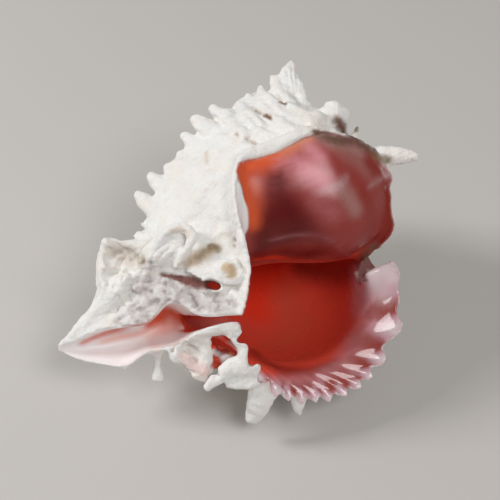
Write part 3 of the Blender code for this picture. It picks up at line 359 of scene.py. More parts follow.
# Brush strokes. Each is a mask, a path of picture points set down on the shell, its reach, how
# much of the reach is soft, and its strength.
STROKES = (
    # The shield
    # Orange and apricot: painted light shining through the thin left and upper edges of the shield.
    ("backlit_orange", ((241, 168), (244, 184), (249, 205), (253, 224)), (7.6, 7.3, 6.2, 4.0), 1.0, 1.0),
    ("backlit_orange", ((248, 164), (262, 160), (276, 156)), (7.5, 6.2, 4.0), 0.95, 1.0),
    ("backlit_apricot", ((268, 155), (284, 149), (300, 142), (312, 138)), (3.4, 3.6, 3.2, 1.5), 0.8, 1.0),
    # Maroon: painted shade where the shield turns away from the light.
    ("maroon_shade", ((277, 178), (279, 196), (278, 222)), (4.5, 6.8, 8.0), 1.0, 1.0),
    ("maroon_shade", ((262, 222), (268, 240), (262, 252)), (5.5, 7.0, 5.0), 0.8, 0.9),
    ("maroon_shade", ((285, 205), (298, 226), (288, 245)), 8.5, 0.9, 1.0),
    ("maroon_shade", ((310, 232), (322, 250), (300, 256)), 6.0, 0.9, 0.8),
    # Ember: painted shade where the shield turns down into the cup.
    ("ember_shade", ((262, 254), (288, 246), (310, 243), (330, 249), (344, 258)), (2.0, 3.4, 4.2, 3.6, 2.4),
     0.9, 0.7),
    ("glow", ((256, 259), (275, 257), (300, 260)), (1.6, 2.2, 1.6), 1.0, 0.9),
    # Blush here: a painted sheen along the rim above the cup.
    ("blush_highlight", ((272, 241), (288, 236), (310, 234), (328, 239), (340, 250)), 0.8, 1.0, 0.3),
    ("smoke", ((318, 136), (332, 143), (348, 147), (362, 152)), (2.5, 3.5, 3.5, 3.0), 0.8, 1.0),
    ("umber_dirt_and_shade", ((314, 131), (324, 136), (336, 140), (348, 142)), (1.2, 2.4, 2.8, 2.4), 0.8, 1.0),
    ("umber_dirt_and_shade", ((350, 136), (362, 144), (376, 153)), (2.4, 3.0, 1.8), 0.9, 0.9),
    # Blush: the painted broad reflection on the shield's bulge.
    ("blush_highlight", ((288, 160), (308, 170), (326, 184), (334, 190)), (3.5, 6.5, 6.0, 4.0), 1.0, 0.95),
    ("blush_highlight", ((310, 148), (320, 160)), 4.0, 1.0, 0.8),
    ("blush_highlight", ((318, 200), (334, 215)), 5.0, 1.0, 0.25),
    ("smoke", ((345, 152), (358, 160), (372, 172)), 5.0, 0.9, 0.5),
    ("smoke", ((342, 190), (350, 200), (356, 210)), 4.5, 0.9, 0.9),
    ("smoke", ((376, 176), (384, 184)), 3.0, 0.9, 0.6),
    # Ember: painted shade on the shield's right edge, turned from the light.
    ("ember_shade", ((370, 162), (380, 178), (389, 200), (387, 222), (378, 240)), 4.0, 0.8, 1.0),
    # Pearl: painted highlights on the glaze of the shield.
    ("pearl_highlight", ((380, 160), (384, 165), (382, 171)), (0.7, 1.0, 0.8), 1.0, 0.9),
    ("pearl_highlight", ((371, 148), (374, 150)), 1.0, 0.9, 0.9),
    ("pearl_highlight", ((384, 177), (389, 176)), 1.0, 0.9, 0.6),
    ("pearl_highlight", ((322, 192), (331, 190), (340, 184), (347, 176)), (2.0, 2.6, 2.2, 1.0), 1.0, 0.35),
    ("pearl_highlight", ((368, 188), (376, 182), (384, 178)), 0.6, 1.0, 0.35),
    # Ember: more painted shade on the shield's right edge.
    ("ember_shade", ((365, 195), (372, 215), (366, 235)), 4.5, 1.0, 0.55),
    # The cup
    ("glow", ((262, 268), (275, 266), (258, 285), (254, 310)), 9.0, 1.0, 1.0),
    # Ember: painted shade in the cup beside the shield and along its lower crease.
    ("ember_shade", ((300, 268), (325, 270), (350, 272)), (5.0, 8.0, 6.0), 1.0, 0.8),
    ("ember_shade", ((254, 351), (264, 362), (284, 371), (312, 373), (338, 364)), (3.0, 3.8, 4.2, 4.2, 3.5),
     1.0, 0.8),
    ("clay", ((285, 300), (300, 325), (280, 345)), 9.0, 1.0, 0.8),
    # The outer lip and the notch
    # Pearl and ember here: a painted highlight on the lip, and painted shade in a valley of its plates.
    ("pearl_highlight", ((368, 284), (376, 290), (384, 300)), (3.0, 5.0, 4.0), 1.0, 0.4),
    ("ember_shade", ((386, 312), (392, 316), (397, 318)), (1.2, 2.2, 2.0), 1.0, 0.6),
    # Umber and plum here: painted shade in the notch between the shield and the lip.
    ("umber_dirt_and_shade", ((354, 262), (364, 255), (376, 246)), (2.2, 3.0, 2.4), 0.9, 0.8),
    ("plum_and_shade", ((360, 264), (363, 269), (362, 275), (362, 280)), (2.4, 2.4, 2.0, 2.0), 0.4, 1.0),
    ("plum_and_shade", ((367, 260), (370, 265), (373, 268)), 2.2, 0.4, 1.0),
    # The canal
    ("flesh", ((100, 342), (120, 337), (150, 330), (176, 324)), (1.5, 2.0, 3.5, 4.5), 1.0, 0.9),
    ("coral", ((82, 343), (100, 335), (120, 329), (138, 324), (152, 318)), (1.6, 2.8, 3.4, 3.8, 4.2),
     1.0, 0.8),
    ("coral", ((150, 323), (160, 317), (168, 311), (178, 315), (184, 318)), (3.5, 5.5, 6.0, 5.0, 4.0),
     0.9, 1.0),
    ("rose", ((176, 326), (190, 324), (202, 323), (214, 322), (226, 320)), (2.5, 4.0, 4.5, 4.5, 3.5),
     1.0, 0.75),
    # The frill
    ("rust", ((215, 360), (218, 366), (215, 374)), 2.4, 0.5, 1.0),
    ("rust", ((226, 345), (230, 352)), 1.3, 0.8, 0.8),
    ("blossom", ((184, 356), (194, 366), (206, 372)), 3.0, 0.9, 0.8),
    ("blossom", ((150, 335), (156, 350)), 2.2, 0.9, 0.6),
    # Crease: painted shade under the tops of the frill's lobes.
    ("crease_shade", ((172, 352), (175, 345), (184, 342)), 0.6, 0.9, 0.7),
    ("crease_shade", ((188, 345), (190, 352), (195, 360)), 0.6, 0.9, 0.6),
    ("tan", ((222, 350), (232, 354)), 3.0, 1.0, 0.25),
    # The border of the mouth
    ("band", ((238, 184), (240, 196), (242, 210), (243, 228), (244, 246), (245, 260), (247, 272)),
     (0.6, 1.3, 2.4, 3.0, 3.0, 2.2, 1.4), 0.2, 1.0),
    ("cover", ((242, 156), (256, 151), (272, 146), (286, 139), (302, 132), (314, 129)),
     (1.8, 2.4, 2.4, 2.4, 2.0, 1.6), 0.15, 1.0),
    ("clear", ((235, 176), (238, 190), (240, 205), (242, 222), (242, 240), (240, 256)),
     (1.2, 2.0, 2.6, 3.2, 3.2, 2.6), 0.15, 1.0),
    ("clear", ((237, 240), (236, 249), (236, 258)), 2.4, 0.2, 1.0),
    ("clear", ((237, 284), (237, 294), (236, 304)), 3.0, 0.2, 1.0),
    ("tan", ((236, 225), (236, 240)), 1.2, 1.0, 0.3),
    # The flank, the knob and the spire
    ("spot", ((281, 102), (285, 104)), 1.1, 0.7, 1.0),
    ("spot", ((266, 116), (270, 118)), 1.1, 0.7, 1.0),
    ("spot", ((256, 111), (260, 114)), 0.8, 0.8, 0.7),
    # Crease: painted shade along the folds of the flank.
    ("crease_shade", ((236, 134), (246, 139), (256, 144)), 0.7, 0.8, 0.8),
    ("crease_shade", ((252, 107), (262, 114), (272, 120)), 0.6, 0.9, 0.6),
    ("crease_shade", ((276, 96), (282, 101)), 0.6, 0.9, 0.6),
    ("umber_dirt_and_shade", ((336, 120), (341, 126), (344, 133)), (2.0, 3.2, 2.4), 0.8, 1.0),
    # Grime here: painted shade at the base of the right spine.
    ("grime_and_shade", ((378, 158), (388, 160)), 2.0, 0.9, 0.8),
    ("grime_and_shade", ((372, 157), (384, 161), (396, 165)), (1.5, 2.0, 0.8), 0.9, 0.6),
    ("grime_and_shade", ((350, 120), (356, 128)), 2.0, 0.9, 1.0),
    ("tan", ((206, 152), (207, 162)), (1.4, 1.0), 1.0, 0.5),
    # The pillar, the groove and the old canal
    # Crease: painted shade along the creases of the pillar and of the border.
    ("crease_shade", ((168, 236), (174, 230), (184, 230)), 0.6, 1.0, 0.3),
    ("crease_shade", ((234, 245), (238, 260), (246, 273)), 0.6, 0.9, 0.8),
    ("grime_and_shade", ((198, 258), (206, 251), (214, 248)), 1.8, 0.9, 0.55),
    ("grime_and_shade", ((212, 246), (219, 250)), 1.4, 0.8, 0.8),
    ("grime_and_shade", ((122, 246), (134, 252), (144, 262)), 1.6, 1.0, 0.5),
    ("tan", ((226, 267), (231, 269), (232, 274)), (2.0, 2.2, 1.8), 0.4, 1.0),
    ("tan", ((110, 250), (124, 256), (140, 262)), 3.0, 1.0, 0.35),
    ("tan", ((172, 231), (180, 228), (188, 236)), 1.4, 0.9, 0.5),
    ("tan", ((188, 263), (196, 258), (206, 252), (216, 248)), (2.4, 3.6, 3.2, 2.4), 0.9, 0.85),
    ("umber_dirt_and_shade", ((208, 246), (211, 248)), 1.0, 0.9, 0.7),
    ("ash_and_pit_shade", ((144, 290), (165, 293), (190, 298), (228, 306)), (6.0, 7.0, 6.0, 4.0), 0.6, 1.0),
    ("ash_and_pit_shade", ((124, 324), (142, 312)), 5.0, 0.8, 0.9),
    ("ash_and_pit_shade", ((116, 252), (140, 260), (150, 270)), (2.5, 4.0, 3.0), 0.9, 0.7),
    ("plum_and_shade", ((162, 275), (176, 278), (192, 282), (208, 287)), (0.8, 1.3, 2.4, 3.0), 0.5, 1.0),
)
# Furrows and ridges too fine for the solid: a path of picture points, its reach, and how far
# it sinks or, if negative, stands out.
FURROWS = (
    # The groove beside the navel hole
    (((156, 273), (170, 276), (182, 279)), (0.9, 1.2, 1.2), 0.9),
    # Valleys and ridges of the upper flank
    (((262, 98), (274, 110), (290, 119), (306, 124)), 1.6, 0.7),
    (((246, 112), (258, 124), (276, 131)), 1.4, 0.6),
    (((214, 118), (232, 128), (250, 138)), 1.4, 0.6),
    (((262, 92), (280, 103), (304, 111), (326, 117)), 1.6, -0.6),
    (((252, 106), (268, 119), (290, 127), (308, 131)), 1.4, -0.5),
    (((200, 116), (222, 122), (238, 130)), 1.5, -0.5),
    (((196, 127), (222, 136), (244, 145)), 1.5, -0.5),
    # A gap in the frill
    (((216, 365), (216, 375)), 1.8, 1.8),
    # The corner of the old canal
    (((106, 243), (109, 245)), 1.6, -1.5),
    (((116, 244), (119, 246)), 1.2, 0.8),
    (((105, 256), (106, 259)), 1.2, 0.7),
    (((104, 267), (105, 270)), 1.4, -1.3),
    (((124, 245), (127, 247)), 1.0, -0.6),
    # The frill and the curl
    (((172, 352), (175, 345), (184, 342)), 0.8, 1.0),
    (((187, 343), (190, 352), (196, 361)), 0.9, 1.3),
    (((180, 364), (188, 370), (196, 374)), 0.7, 0.8),
    (((150, 263), (156, 251), (165, 244)), 0.45, 0.45),
    (((154, 268), (160, 256), (170, 248)), 0.45, 0.45),
    (((159, 271), (165, 261), (174, 253)), 0.45, 0.45),
    # Creases of the flank and of the border
    (((236, 134), (246, 139), (256, 144)), 0.8, 0.5),
    (((252, 107), (262, 114), (272, 120)), 0.8, 0.6),
    (((276, 96), (282, 101), (288, 107)), 0.8, 0.6),
    (((234, 240), (238, 256), (246, 272)), 0.8, 0.6),
    # The shoulder spine
    (((291, 64), (293, 80), (296, 96)), 0.6, 0.35),
    (((287, 70), (289, 84), (291, 96)), 0.6, 0.35),
    (((296, 72), (297, 84), (298, 97)), 0.5, 0.3),
)
# Strokes that are thick as well as coloured, and by how much.
RAISED = {"cover": 0.7, "band": 0.3}
# The rough, pitted faces beside the canal, and their reach.
PITTED = (
    (((128, 290), (150, 292), (170, 294), (200, 301), (226, 304)), (6.0, 6.0, 6.0, 5.0, 2.4)),
    (((120, 262), (150, 262)), 4.5),
    (((120, 318), (140, 305)), 5.0),
)
HALF_SOFT = 0.5

# Masks of the mouth. The cup starts and ends at these depths.
CUP_FROM, CUP_RUN = -10, 9
# The pink of the outer lip: how far it runs in from the edge at shares along the lip, and the
# part of that where it is full.
LIP_SHARES = (0, 0.06, 0.2, 0.45, 0.65, 0.78, 1)
LIP_WIDTHS = (6.0, 13.0, 15.0, 11.0, 7.0, 4.2, 2.4)
LIP_FULL = 0.2
# Its flutes: where on the wave valleys and crests lie, where along the lip the valleys start,
# and how far in the crests run. Each is a level or a place and the run over which it changes.
# The valleys get painted shade, and the crests painted highlights.
VALLEY_LEVEL, VALLEY_START = (0.36, 0.34), (0.2, 0.1)
CREST_LEVEL, CREST_REACH = (0.5, 0.3), (1.5, 5.0)
OUTER_EDGE_ROUNDS, LIP_EDGE_ROUNDS = 6, 2

# The finishes, laid on in this order, each where its mask says.
FINISHES = (
    "ash_and_pit_shade", "canal", "flesh", "mouth", "cup", "clay", "glow", "maroon_shade", "backlit_apricot", "backlit_orange", "blush_highlight", "smoke",
    "ember_shade", "lip", "valley_shade", "crest", "pearl_highlight", "coral", "rose", "rust", "blossom", "band", "tan", "plum_and_shade",
    "crease_shade", "spot", "umber_dirt_and_shade", "grime_and_shade",
)
# Those that show on the glaze alone, and those with ragged edges.
GLAZED = (
    "backlit_orange", "backlit_apricot", "maroon_shade", "blush_highlight", "smoke", "ember_shade", "glow", "clay", "pearl_highlight", "cup", "lip",
    "valley_shade", "crest", "flesh", "coral", "rose", "mouth", "canal",
)
STAINS_AND_SHADES = ("grime_and_shade", "umber_dirt_and_shade", "spot", "plum_and_shade", "crease_shade", "ash_and_pit_shade")

# The finish's noises: grain size and detail. A range takes noise between two values to two more.
BROAD_NOISE, GRAIN_NOISE, FINE_NOISE, NOISE_ROUGHNESS = (9, 3.0), (1.6, 4), (0.5, 3), 0.55
CREAM_RANGE, SPECK_RANGE = (0.42, 0.72, 0, 0.55), (0.56, 0.74, 0, 0.30)
RAGGED_RANGE, SOFT_RANGE = (0.3, 0.7, -0.22, 0.22), (0.3, 0.7, -0.12, 0.12)
CHALK_ROUGHNESS, GLAZE_ROUGHNESS, LIP_ROUGHNESS = (0.3, 0.7, 0.68, 0.86), (0.3, 0.7, 0.24, 0.34), 0.12
SPECULAR, LIP_COAT, COAT_ROUGHNESS = 0.27, 0.5, 0.07
GLOW_WEIGHT, GLOW_RADIUS, GLOW_SCALE = 0.12, (1.0, 0.45, 0.35), 0.0015
BUMP_GRAIN, BUMP_FINE, BUMP_STRENGTH, BUMP_HEIGHT = 0.6, 0.4, 0.8, 0.0008

# The stage: the floor's half side in metres, and the light of the room.
FLOOR_HALF, FLOOR_ROUGHNESS = 2, 0.8
ROOM_COLOUR, ROOM_STRENGTH = (1.0, 0.98, 0.96), 0.28
# Lamps: the way to each from the shell, how far, how wide, in metres, and its power in watts.
LAMPS = {
    "key light": ((-0.80, 0.05, 0.62), 0.9, 0.22, 4.2),
    "fill light": ((0.4, -0.7, 1.0), 1.3, 0.48, 6.0),
}
LAMPS_AIM = (0, 0, 0.03)
# The camera's sensor and nearest distance, in millimetres and in metres.
SENSOR_WIDTH, CLIP_START = 36, 0.01


def hermite(knots, values, at):
    """Values on a smooth curve through the given ones, at the given places."""
    knots, values = np.asarray(knots, float), np.asarray(values, float)
    gaps = np.diff(knots)[:, None]
    steps = np.diff(values, axis=0) / gaps
    slopes = np.empty_like(values)
    slopes[0], slopes[-1] = steps[0], steps[-1]
    slopes[1:-1] = (steps[:-1] * gaps[1:] + steps[1:] * gaps[:-1]) / (gaps[:-1] + gaps[1:])
    cell = np.clip(np.searchsorted(knots, at, side="right") - 1, 0, len(knots) - 2)
    gap = gaps[cell]
    s = ((at - knots[cell]) / gap[:, 0])[:, None]
    return (
        values[cell] * (2 * s**3 - 3 * s**2 + 1) + values[cell + 1] * (3 * s**2 - 2 * s**3)
        + slopes[cell] * gap * (s**3 - 2 * s**2 + s) + slopes[cell + 1] * gap * (s**3 - s**2)
    )


def along(points, count):
    """A smooth curve through the points, read at count even places."""
    points = np.asarray(points, float)
    lengths = np.linalg.norm(np.diff(points, axis=0), axis=1)
    knots = np.concatenate([[0.0], np.cumsum(lengths)])
    return hermite(knots / knots[-1], points, np.linspace(0, 1, count))


def bezier(start, near_start, near_end, end, share):
    keep = 1 - share
    return (
        start * keep**3 + near_start * 3 * keep**2 * share
        + near_end * 3 * keep * share**2 + end * share**3
    )


def ease(value):
    value = np.clip(value, 0, 1)
    return value * value * (3 - 2 * value)


def rising(value, start, run):
    """0 before the start, then eased up to 1 over the run."""
    return ease((value - start) / run)


def falling(value, end, run):
    """0 past the end, and eased up to 1 over the run before it."""
    return ease((end - value) / run)


def unit(vectors):
    return vectors / np.linalg.norm(vectors, axis=-1, keepdims=True)


def lumps(points, size, seed):
    """Smooth noise from -1 to 1, with lumps about the given size, the same on every run."""
    cell = np.asarray(points) / size
    low = np.floor(cell).astype(np.int64)
    part = ease(cell - low)
    total = np.zeros(len(cell))
    for step in np.ndindex(2, 2, 2):
        at = ((low + step) & 0xFFFF) * CELL_MIXERS
        mixed = at[:, 0] ^ at[:, 1] ^ at[:, 2] ^ (seed * SEED_MIXER + 5)
        mixed = ((mixed ^ (mixed >> 13)) * LAST_MIXER) & 0xFFFFFFFF
        value = ((mixed ^ (mixed >> 16)) & 0xFFFF) / 32767.5 - 1
        total += value * np.prod(np.where(np.array(step) == 1, part, 1 - part), axis=1)
    return total


def rough(points, layers, start=0.0):
    """Layers of lumps, each with its size, seed and height, added to the start."""
    return sum((lumps(points, size, seed) * height for size, seed, height in layers), start)


def polar(radius, azimuth, height):
    """Points from radius, azimuth in degrees and height."""
    angle = np.radians(azimuth)
    return np.stack([radius * np.cos(angle), radius * np.sin(angle), height + 0 * radius], axis=-1)


def to_polar(points):
    """Radius, and azimuth in degrees counted on past the lip."""
    azimuth = np.degrees(np.arctan2(points[:, 1], points[:, 0])) % 360
    return np.hypot(points[:, 0], points[:, 1]), np.where(azimuth < 180, azimuth + 360, azimuth)


def sweep_way(azimuth):
    """The way in which the azimuth grows."""
    angle = math.radians(azimuth)
    return np.array([-math.sin(angle), math.cos(angle), 0])


def to_frame(points):
    """Turn points or ways from the shell's axes to the frame's axes."""
    shell_x = RIGHT * math.sin(AXIS_TWIST) - OVER * math.cos(AXIS_TWIST)
    lengthwise = RIGHT * math.cos(AXIS_TWIST) + OVER * math.sin(AXIS_TWIST)
    shell_z = lengthwise * math.cos(CANAL_TILT) - TOWARDS * math.sin(CANAL_TILT)
    shell_y = -lengthwise * math.sin(CANAL_TILT) - TOWARDS * math.cos(CANAL_TILT)
    return points @ np.stack([shell_x, shell_y, shell_z])


def ways_to_shell(ways):
    """Turn ways from the frame's axes to the shell's axes."""
    return ways @ to_frame(np.eye(3)).T


def to_shell(points):
    """Points in the frame, in metres, to the shell's axes, in millimetres."""
    return ways_to_shell(points / METRES - ORIGIN)


SECTIONS = tuple(
    along(points, SECTION_POINTS) for points in (SECTION_AT_LIP, SECTION_HALF_BACK, SECTION_TURN_BACK)
)


def growth(turn):
    """The size of the whorl at a turn, set against its size at the lip."""
    return WHORL_RATIO ** (-turn / WHOLE_TURN)


def section(turn):
    """The whorl's outer section at a turn."""
    lip, half, whole = SECTIONS
    if turn <= HALF_TURN:
        return lip + (half - lip) * turn / HALF_TURN
    if turn <= WHOLE_TURN:
        return half + (whole - half) * (turn - HALF_TURN) / (WHOLE_TURN - HALF_TURN)
    size = growth(turn - WHOLE_TURN)
    return np.stack([whole[:, 0] * size, APEX_HEIGHT - (APEX_HEIGHT - whole[:, 1]) * size], axis=-1)


def section_normals(points):
    run = unit(np.gradient(points, axis=0))
    return np.stack([-run[:, 1], run[:, 0]], axis=-1)


def whorl_radius(turn, height):
    points = section(turn)
    return float(np.interp(-height, -points[:, 1], points[:, 0]))


def whorl_radii(azimuths, heights):
    return np.array([whorl_radius(a - LIP_AZIMUTH, z) for a, z in zip(azimuths, heights)])


def link_new(name, data):
    """A new object with the data, in the scene."""
    made = bpy.data.objects.new(name, data)
    bpy.context.scene.collection.objects.link(made)
    return made


def new_object(name, vertices, faces):
    """A closed solid of the vertices and faces, with its faces turned outwards."""
    mesh = bpy.data.meshes.new(name)
    mesh.from_pydata([tuple(v) for v in vertices], [], faces)
    work = bmesh.new()
    work.from_mesh(mesh)
    if work.calc_volume(signed=True) < 0:
        bmesh.ops.reverse_faces(work, faces=work.faces)
    work.to_mesh(mesh)
    work.free()
    return link_new(name, mesh)


def ring_faces(rows, size, closed_rows=False):
    """Quads between successive closed rings, and from the last ring to the first if asked."""
    faces = []
    for row in range(rows if closed_rows else rows - 1):
        here, there = row * size, ((row + 1) % rows) * size
        for place in range(size):
            after = (place + 1) % size
            faces.append((here + place, here + after, there + after, there + place))
    return faces


def loft(name, rings):
    """A closed solid through rings of equal count, with a cap on each end."""
    rings = np.asarray(rings, float)
    count, size, _ = rings.shape
    faces = ring_faces(count, size)
    first, last = count * size, count * size + 1
    for place in range(size):
        after = (place + 1) % size
        faces.append((first, after, place))
        faces.append((last, (count - 1) * size + place, (count - 1) * size + after))
    ends = [rings[0].mean(axis=0), rings[-1].mean(axis=0)]
    return new_object(name, np.concatenate([rings.reshape(-1, 3), ends]), faces)


def tyre(name, rings):
    """A closed solid through rings that come back to the first one."""
    rings = np.asarray(rings, float)
    return new_object(name, rings.reshape(-1, 3), ring_faces(len(rings), rings.shape[1], True))


def bar(name, path, widths, flatness, flat_way=TOWARDS_EYE):
    """A bent bar of oval section with rounded ends."""
    path = np.asarray(path, float)
    count = BAR_RINGS * len(path)
    centres = along(path, count)
    knots = np.linspace(0, 1, len(path))
    half = np.interp(np.linspace(0, 1, count), knots, widths)
    run = unit(np.gradient(centres, axis=0))
    side = unit(np.cross(run, np.asarray(flat_way, float)))
    up = np.cross(side, run)
    angles = np.linspace(0, 2 * math.pi, BAR_SIDES, endpoint=False)
    rings = []
    for centre, width, across, over, way in zip(centres, half, side, up, run):
        oval = np.outer(np.cos(angles), across) + np.outer(np.sin(angles), over) * flatness
        if not rings:
            rings.append(centre - way * width * END_REACH + oval * width * START_WIDTH)
        rings.append(centre + oval * width)
    tip = centres[-1] + run[-1] * half[-1] * END_REACH * flatness
    rings.append(tip + (rings[-1] - centres[-1]) * END_WIDTH)
    return loft(name, rings)


def rib_rise(turn):
    return sum(height * math.exp(-(((turn - at) / RIB_WIDTH) ** 2)) for at, height, _, _ in RIBS)


def coil():
    """The whorls, as one solid wound round the axis from the lip to the apex."""
    place = np.linspace(0, 1, SECTION_POINTS)
    corded = np.clip((place - RIBBED_FROM) / CORD_SPAN, 0, 1)
    cords = np.sin(math.pi * CORD_COUNT * corded) ** 2 * (CORD_FADE - place)
    fade_in, fade_out = RIBBED_FADES
    ribbed = np.clip((place - RIBBED_FROM) / fade_in, 0, 1) * np.clip((RIBBED_TO - place) / fade_out, 0, 1)
    rings = []
    for turn in np.concatenate([np.arange(*turns) for turns in COIL_TURNS]):
        points = section(turn)
        lift = (rib_rise(turn) * ribbed + cords * CORD_HEIGHT) * growth(turn)
        points = points + section_normals(points) * lift[:, None]
        rings.append(polar(np.maximum(points[:, 0], AXIS_GAP), LIP_AZIMUTH + turn, points[:, 1]))
    return loft("coil", rings)


def cavity_ring(turn):
    """The air inside the whorl at a turn: up the inner wall, then down the outer wall."""
    size = growth(turn)
    outer = section(turn)
    outer = outer - section_normals(outer) * WALL * (WALL_LEAST + WALL_GROWING * size)
    older = section(turn + WHOLE_TURN)
    older = older + section_normals(older) * GLAZE
    top = np.array([older[TOP_PLACE, 0] + TOP_OUT * size, older[TOP_LEVEL, 1]])
    down = outer[(outer[:, 1] < top[1] - OUTER_WALL_BELOW * size) & (outer[:, 0] > OUTER_WALL_FROM * size)]
    down = down[np.argmax(down[:, 0] > OUTER_WALL_WIDE * size):]
    base = np.array([BASE_RADIUS * size, down[-1, 1] - BASE_DROP * size])
    below_top = older[:, 1] < top[1] - INNER_WALL_BELOW * size
    above_base = older[:, 1] > base[1] + INNER_WALL_ABOVE * size
    up = older[below_top & above_base][::-1]
    up = up[up[:, 0] > INNER_WALL_FROM * size]
    inner_wall = along(np.concatenate([[base], up[::4], [top]]), INNER_PLACES + 1)[:-1]
    outer_wall = along(np.concatenate([[top], down[::3], [base]]), OUTER_PLACES + 1)[:-1]
    loop = np.concatenate([inner_wall, outer_wall])
    return polar(loop[:, 0], LIP_AZIMUTH + turn, loop[:, 1])


def hollow_whorl():
    """The rings of the hollow behind the mouth."""
    return [cavity_ring(turn) for turn in np.arange(MOUTH_END + CAVITY_STEP, CAVITY_END, CAVITY_STEP)]


# Shares along the inner and the outer lip, 0 on the other one.
INNER_SHARE = np.concatenate([np.arange(INNER_PLACES) / INNER_PLACES, np.zeros(OUTER_PLACES)])
OUTER_SHARE = np.concatenate([np.zeros(INNER_PLACES), np.arange(OUTER_PLACES) / OUTER_PLACES])
ON_OUTER_LIP = (rising(OUTER_SHARE, *OUTER_FADES[0]) * falling(OUTER_SHARE, *OUTER_FADES[1]))[:, None]


def outwards(ring):
    """At each rim point, the way that leads out of the mouth, square to the sight line."""
    run = np.roll(ring, -3, axis=0) - np.roll(ring, 3, axis=0)
    way = unit(np.cross(run, TO_EYE))
    return way * np.sign(np.sum((ring - ring.mean(axis=0)) * way))


def scallops():
    """The wave of the outer lip: 1 on the points, 0 between them."""
    wave = np.interp(OUTER_SHARE, SCALLOP_TIPS, np.arange(len(SCALLOP_TIPS)))
    fade_in, fade_out = WAVE_FADES
    fade = rising(OUTER_SHARE, *fade_in) * falling(OUTER_SHARE, *fade_out)
    phase = wave % 1
    slope = 1 - ease(phase / SCALLOP_SLOPE)
    saw = np.where(phase < SCALLOP_SLOPE, slope, rising(phase, SCALLOP_SLOPE, 1 - SCALLOP_SLOPE))
    return (saw * fade)[:, None]


def mouth_rim():
    """The rim of the mouth: the inner lip with its torn edge, and the scalloped outer lip."""
    rim = np.concatenate([along(INNER_RIM, INNER_PLACES + 1)[:-1], along(OUTER_RIM, OUTER_PLACES + 1)[:-1]])
    on_outer = (OUTER_SHARE > 0)[:, None]
    rim = rim + outwards(rim) * (scallops() - SCALLOP_MIDDLE) * SCALLOP_REACH * on_outer
    torn = rising(INNER_SHARE, *TORN_START) * falling(INNER_SHARE, *TORN_END)
    return rim + outwards(rim) * (torn * rough(rim, TORN_LUMPS))[:, None]


def mouth_rings():
    """The glazed surface of the mouth, from the rim to where the closed whorl begins."""
    rim = mouth_rim()
    deep = cavity_ring(MOUTH_END)
    radius, azimuth = to_polar(rim)
    end_azimuth = LIP_AZIMUTH + MOUTH_END + 360
    reach = np.linalg.norm(deep - rim, axis=1)
    floor_start = whorl_radii(azimuth, rim[:, 2]) + GLAZE
    floor_end = whorl_radii(np.full(len(rim), end_azimuth), deep[:, 2]) + GLAZE
    fade = FLANGE_RUN + FLANGE_SPREAD * np.abs(radius - floor_start)
    lean = deep - rim
    lean[:, 1] *= SIDE_LEAN
    lean = unit(lean) * reach[:, None] * RIM_LEAN
    before_deep = deep - sweep_way(end_azimuth) * reach[:, None] * DEEP_LEAN
    into_mouth = unit(TO_EYE - outwards(rim))
    rings = []
    for share in MOUTH_STEPS:
        turned = azimuth + (end_azimuth - azimuth) * share
        height = rim[:, 2] + (deep[:, 2] - rim[:, 2]) * share
        lift = (radius - floor_start) * np.exp(-((share * reach / fade) ** FLANGE_FALL))
        lift += (to_polar(deep)[0] - floor_end) * share**2
        wound = polar(whorl_radii(turned, height) + GLAZE + lift, turned, height)
        bell = bezier(rim, rim + lean, before_deep, deep, share)
        flute = (0.5 - scallops()) * SCALLOP_DEPTH * max(0, 1 - share / FLUTE_RUN)
        bell = bell + into_mouth * flute
        rings.append(wound + (bell - wound) * ON_OUTER_LIP)
    return rings


def mouth_wall(rings):
    """The flared lip and the glazed shield, as one wall all round the mouth."""
    rim = rings[0]
    out = outwards(rim)
    radius, azimuth = to_polar(rim)
    on_left = falling(INNER_SHARE, *SKIRT_END) * (OUTER_SHARE == 0)
    shifted = azimuth - np.degrees(FLANGE_SKIRT * on_left / radius)
    foot_radius = np.maximum(whorl_radii(shifted, rim[:, 2]) - FOOT_SINK, LEAST_RADIUS)
    foot = polar(foot_radius, shifted, rim[:, 2])
    body = section(LIP_ROOT)
    body = body - section_normals(body) * ROOT_SINK
    down = along(body[(body[:, 0] > ROOT_FROM_RADIUS) & (body[:, 1] < ROOT_BELOW)][::3], OUTER_PLACES)
    down = polar(down[:, 0], LIP_AZIMUTH + LIP_ROOT, down[:, 1])
    root = foot + (np.concatenate([foot[:INNER_PLACES], down]) - foot) * ON_OUTER_LIP
    edge = rim + out * LIP_EDGE
    last = rings[-4]
    deeper = [last + (ring - last) * (1 - ON_OUTER_LIP) for ring in rings[-3:]]
    walls = [ring + unit(TO_EYE - out) * SPARE for ring in (rings[:-3] + deeper)[::-1]]
    walls += [rim + out * LIP_EDGE * 0.5 + TO_EYE * 0.5, edge]
    reach = np.linalg.norm(root - edge, axis=1)[:, None]
    inward = root - edge
    inward[:, 1] *= SIDE_LEAN
    inward = unit(inward) * reach * EDGE_LEAN
    before_root = root - sweep_way(LIP_AZIMUTH + LIP_ROOT) * reach * ROOT_LEAN
    for share in BACK_STEPS:
        straight = edge + (root - edge) * share
        bell = bezier(edge, edge + inward, before_root, root, share)
        walls.append(straight + (bell - straight) * ON_OUTER_LIP)
    for ring in (rings[5], rings[-4]):
        deep_radius, deep_azimuth = to_polar(ring)
        core = polar(np.maximum(deep_radius - CORE_SINK, LEAST_RADIUS), deep_azimuth, ring[:, 2])
        walls.append(core + (root - core) * ON_OUTER_LIP)
    return tyre("mouth_wall", walls)


def mouth_air(rings):
    """The air in the mouth and in the last turns of the whorl."""
    front = [rings[0] + TO_EYE * AIR_REACH, rings[0] + TO_EYE]
    return loft("mouth_air", front + rings + hollow_whorl())


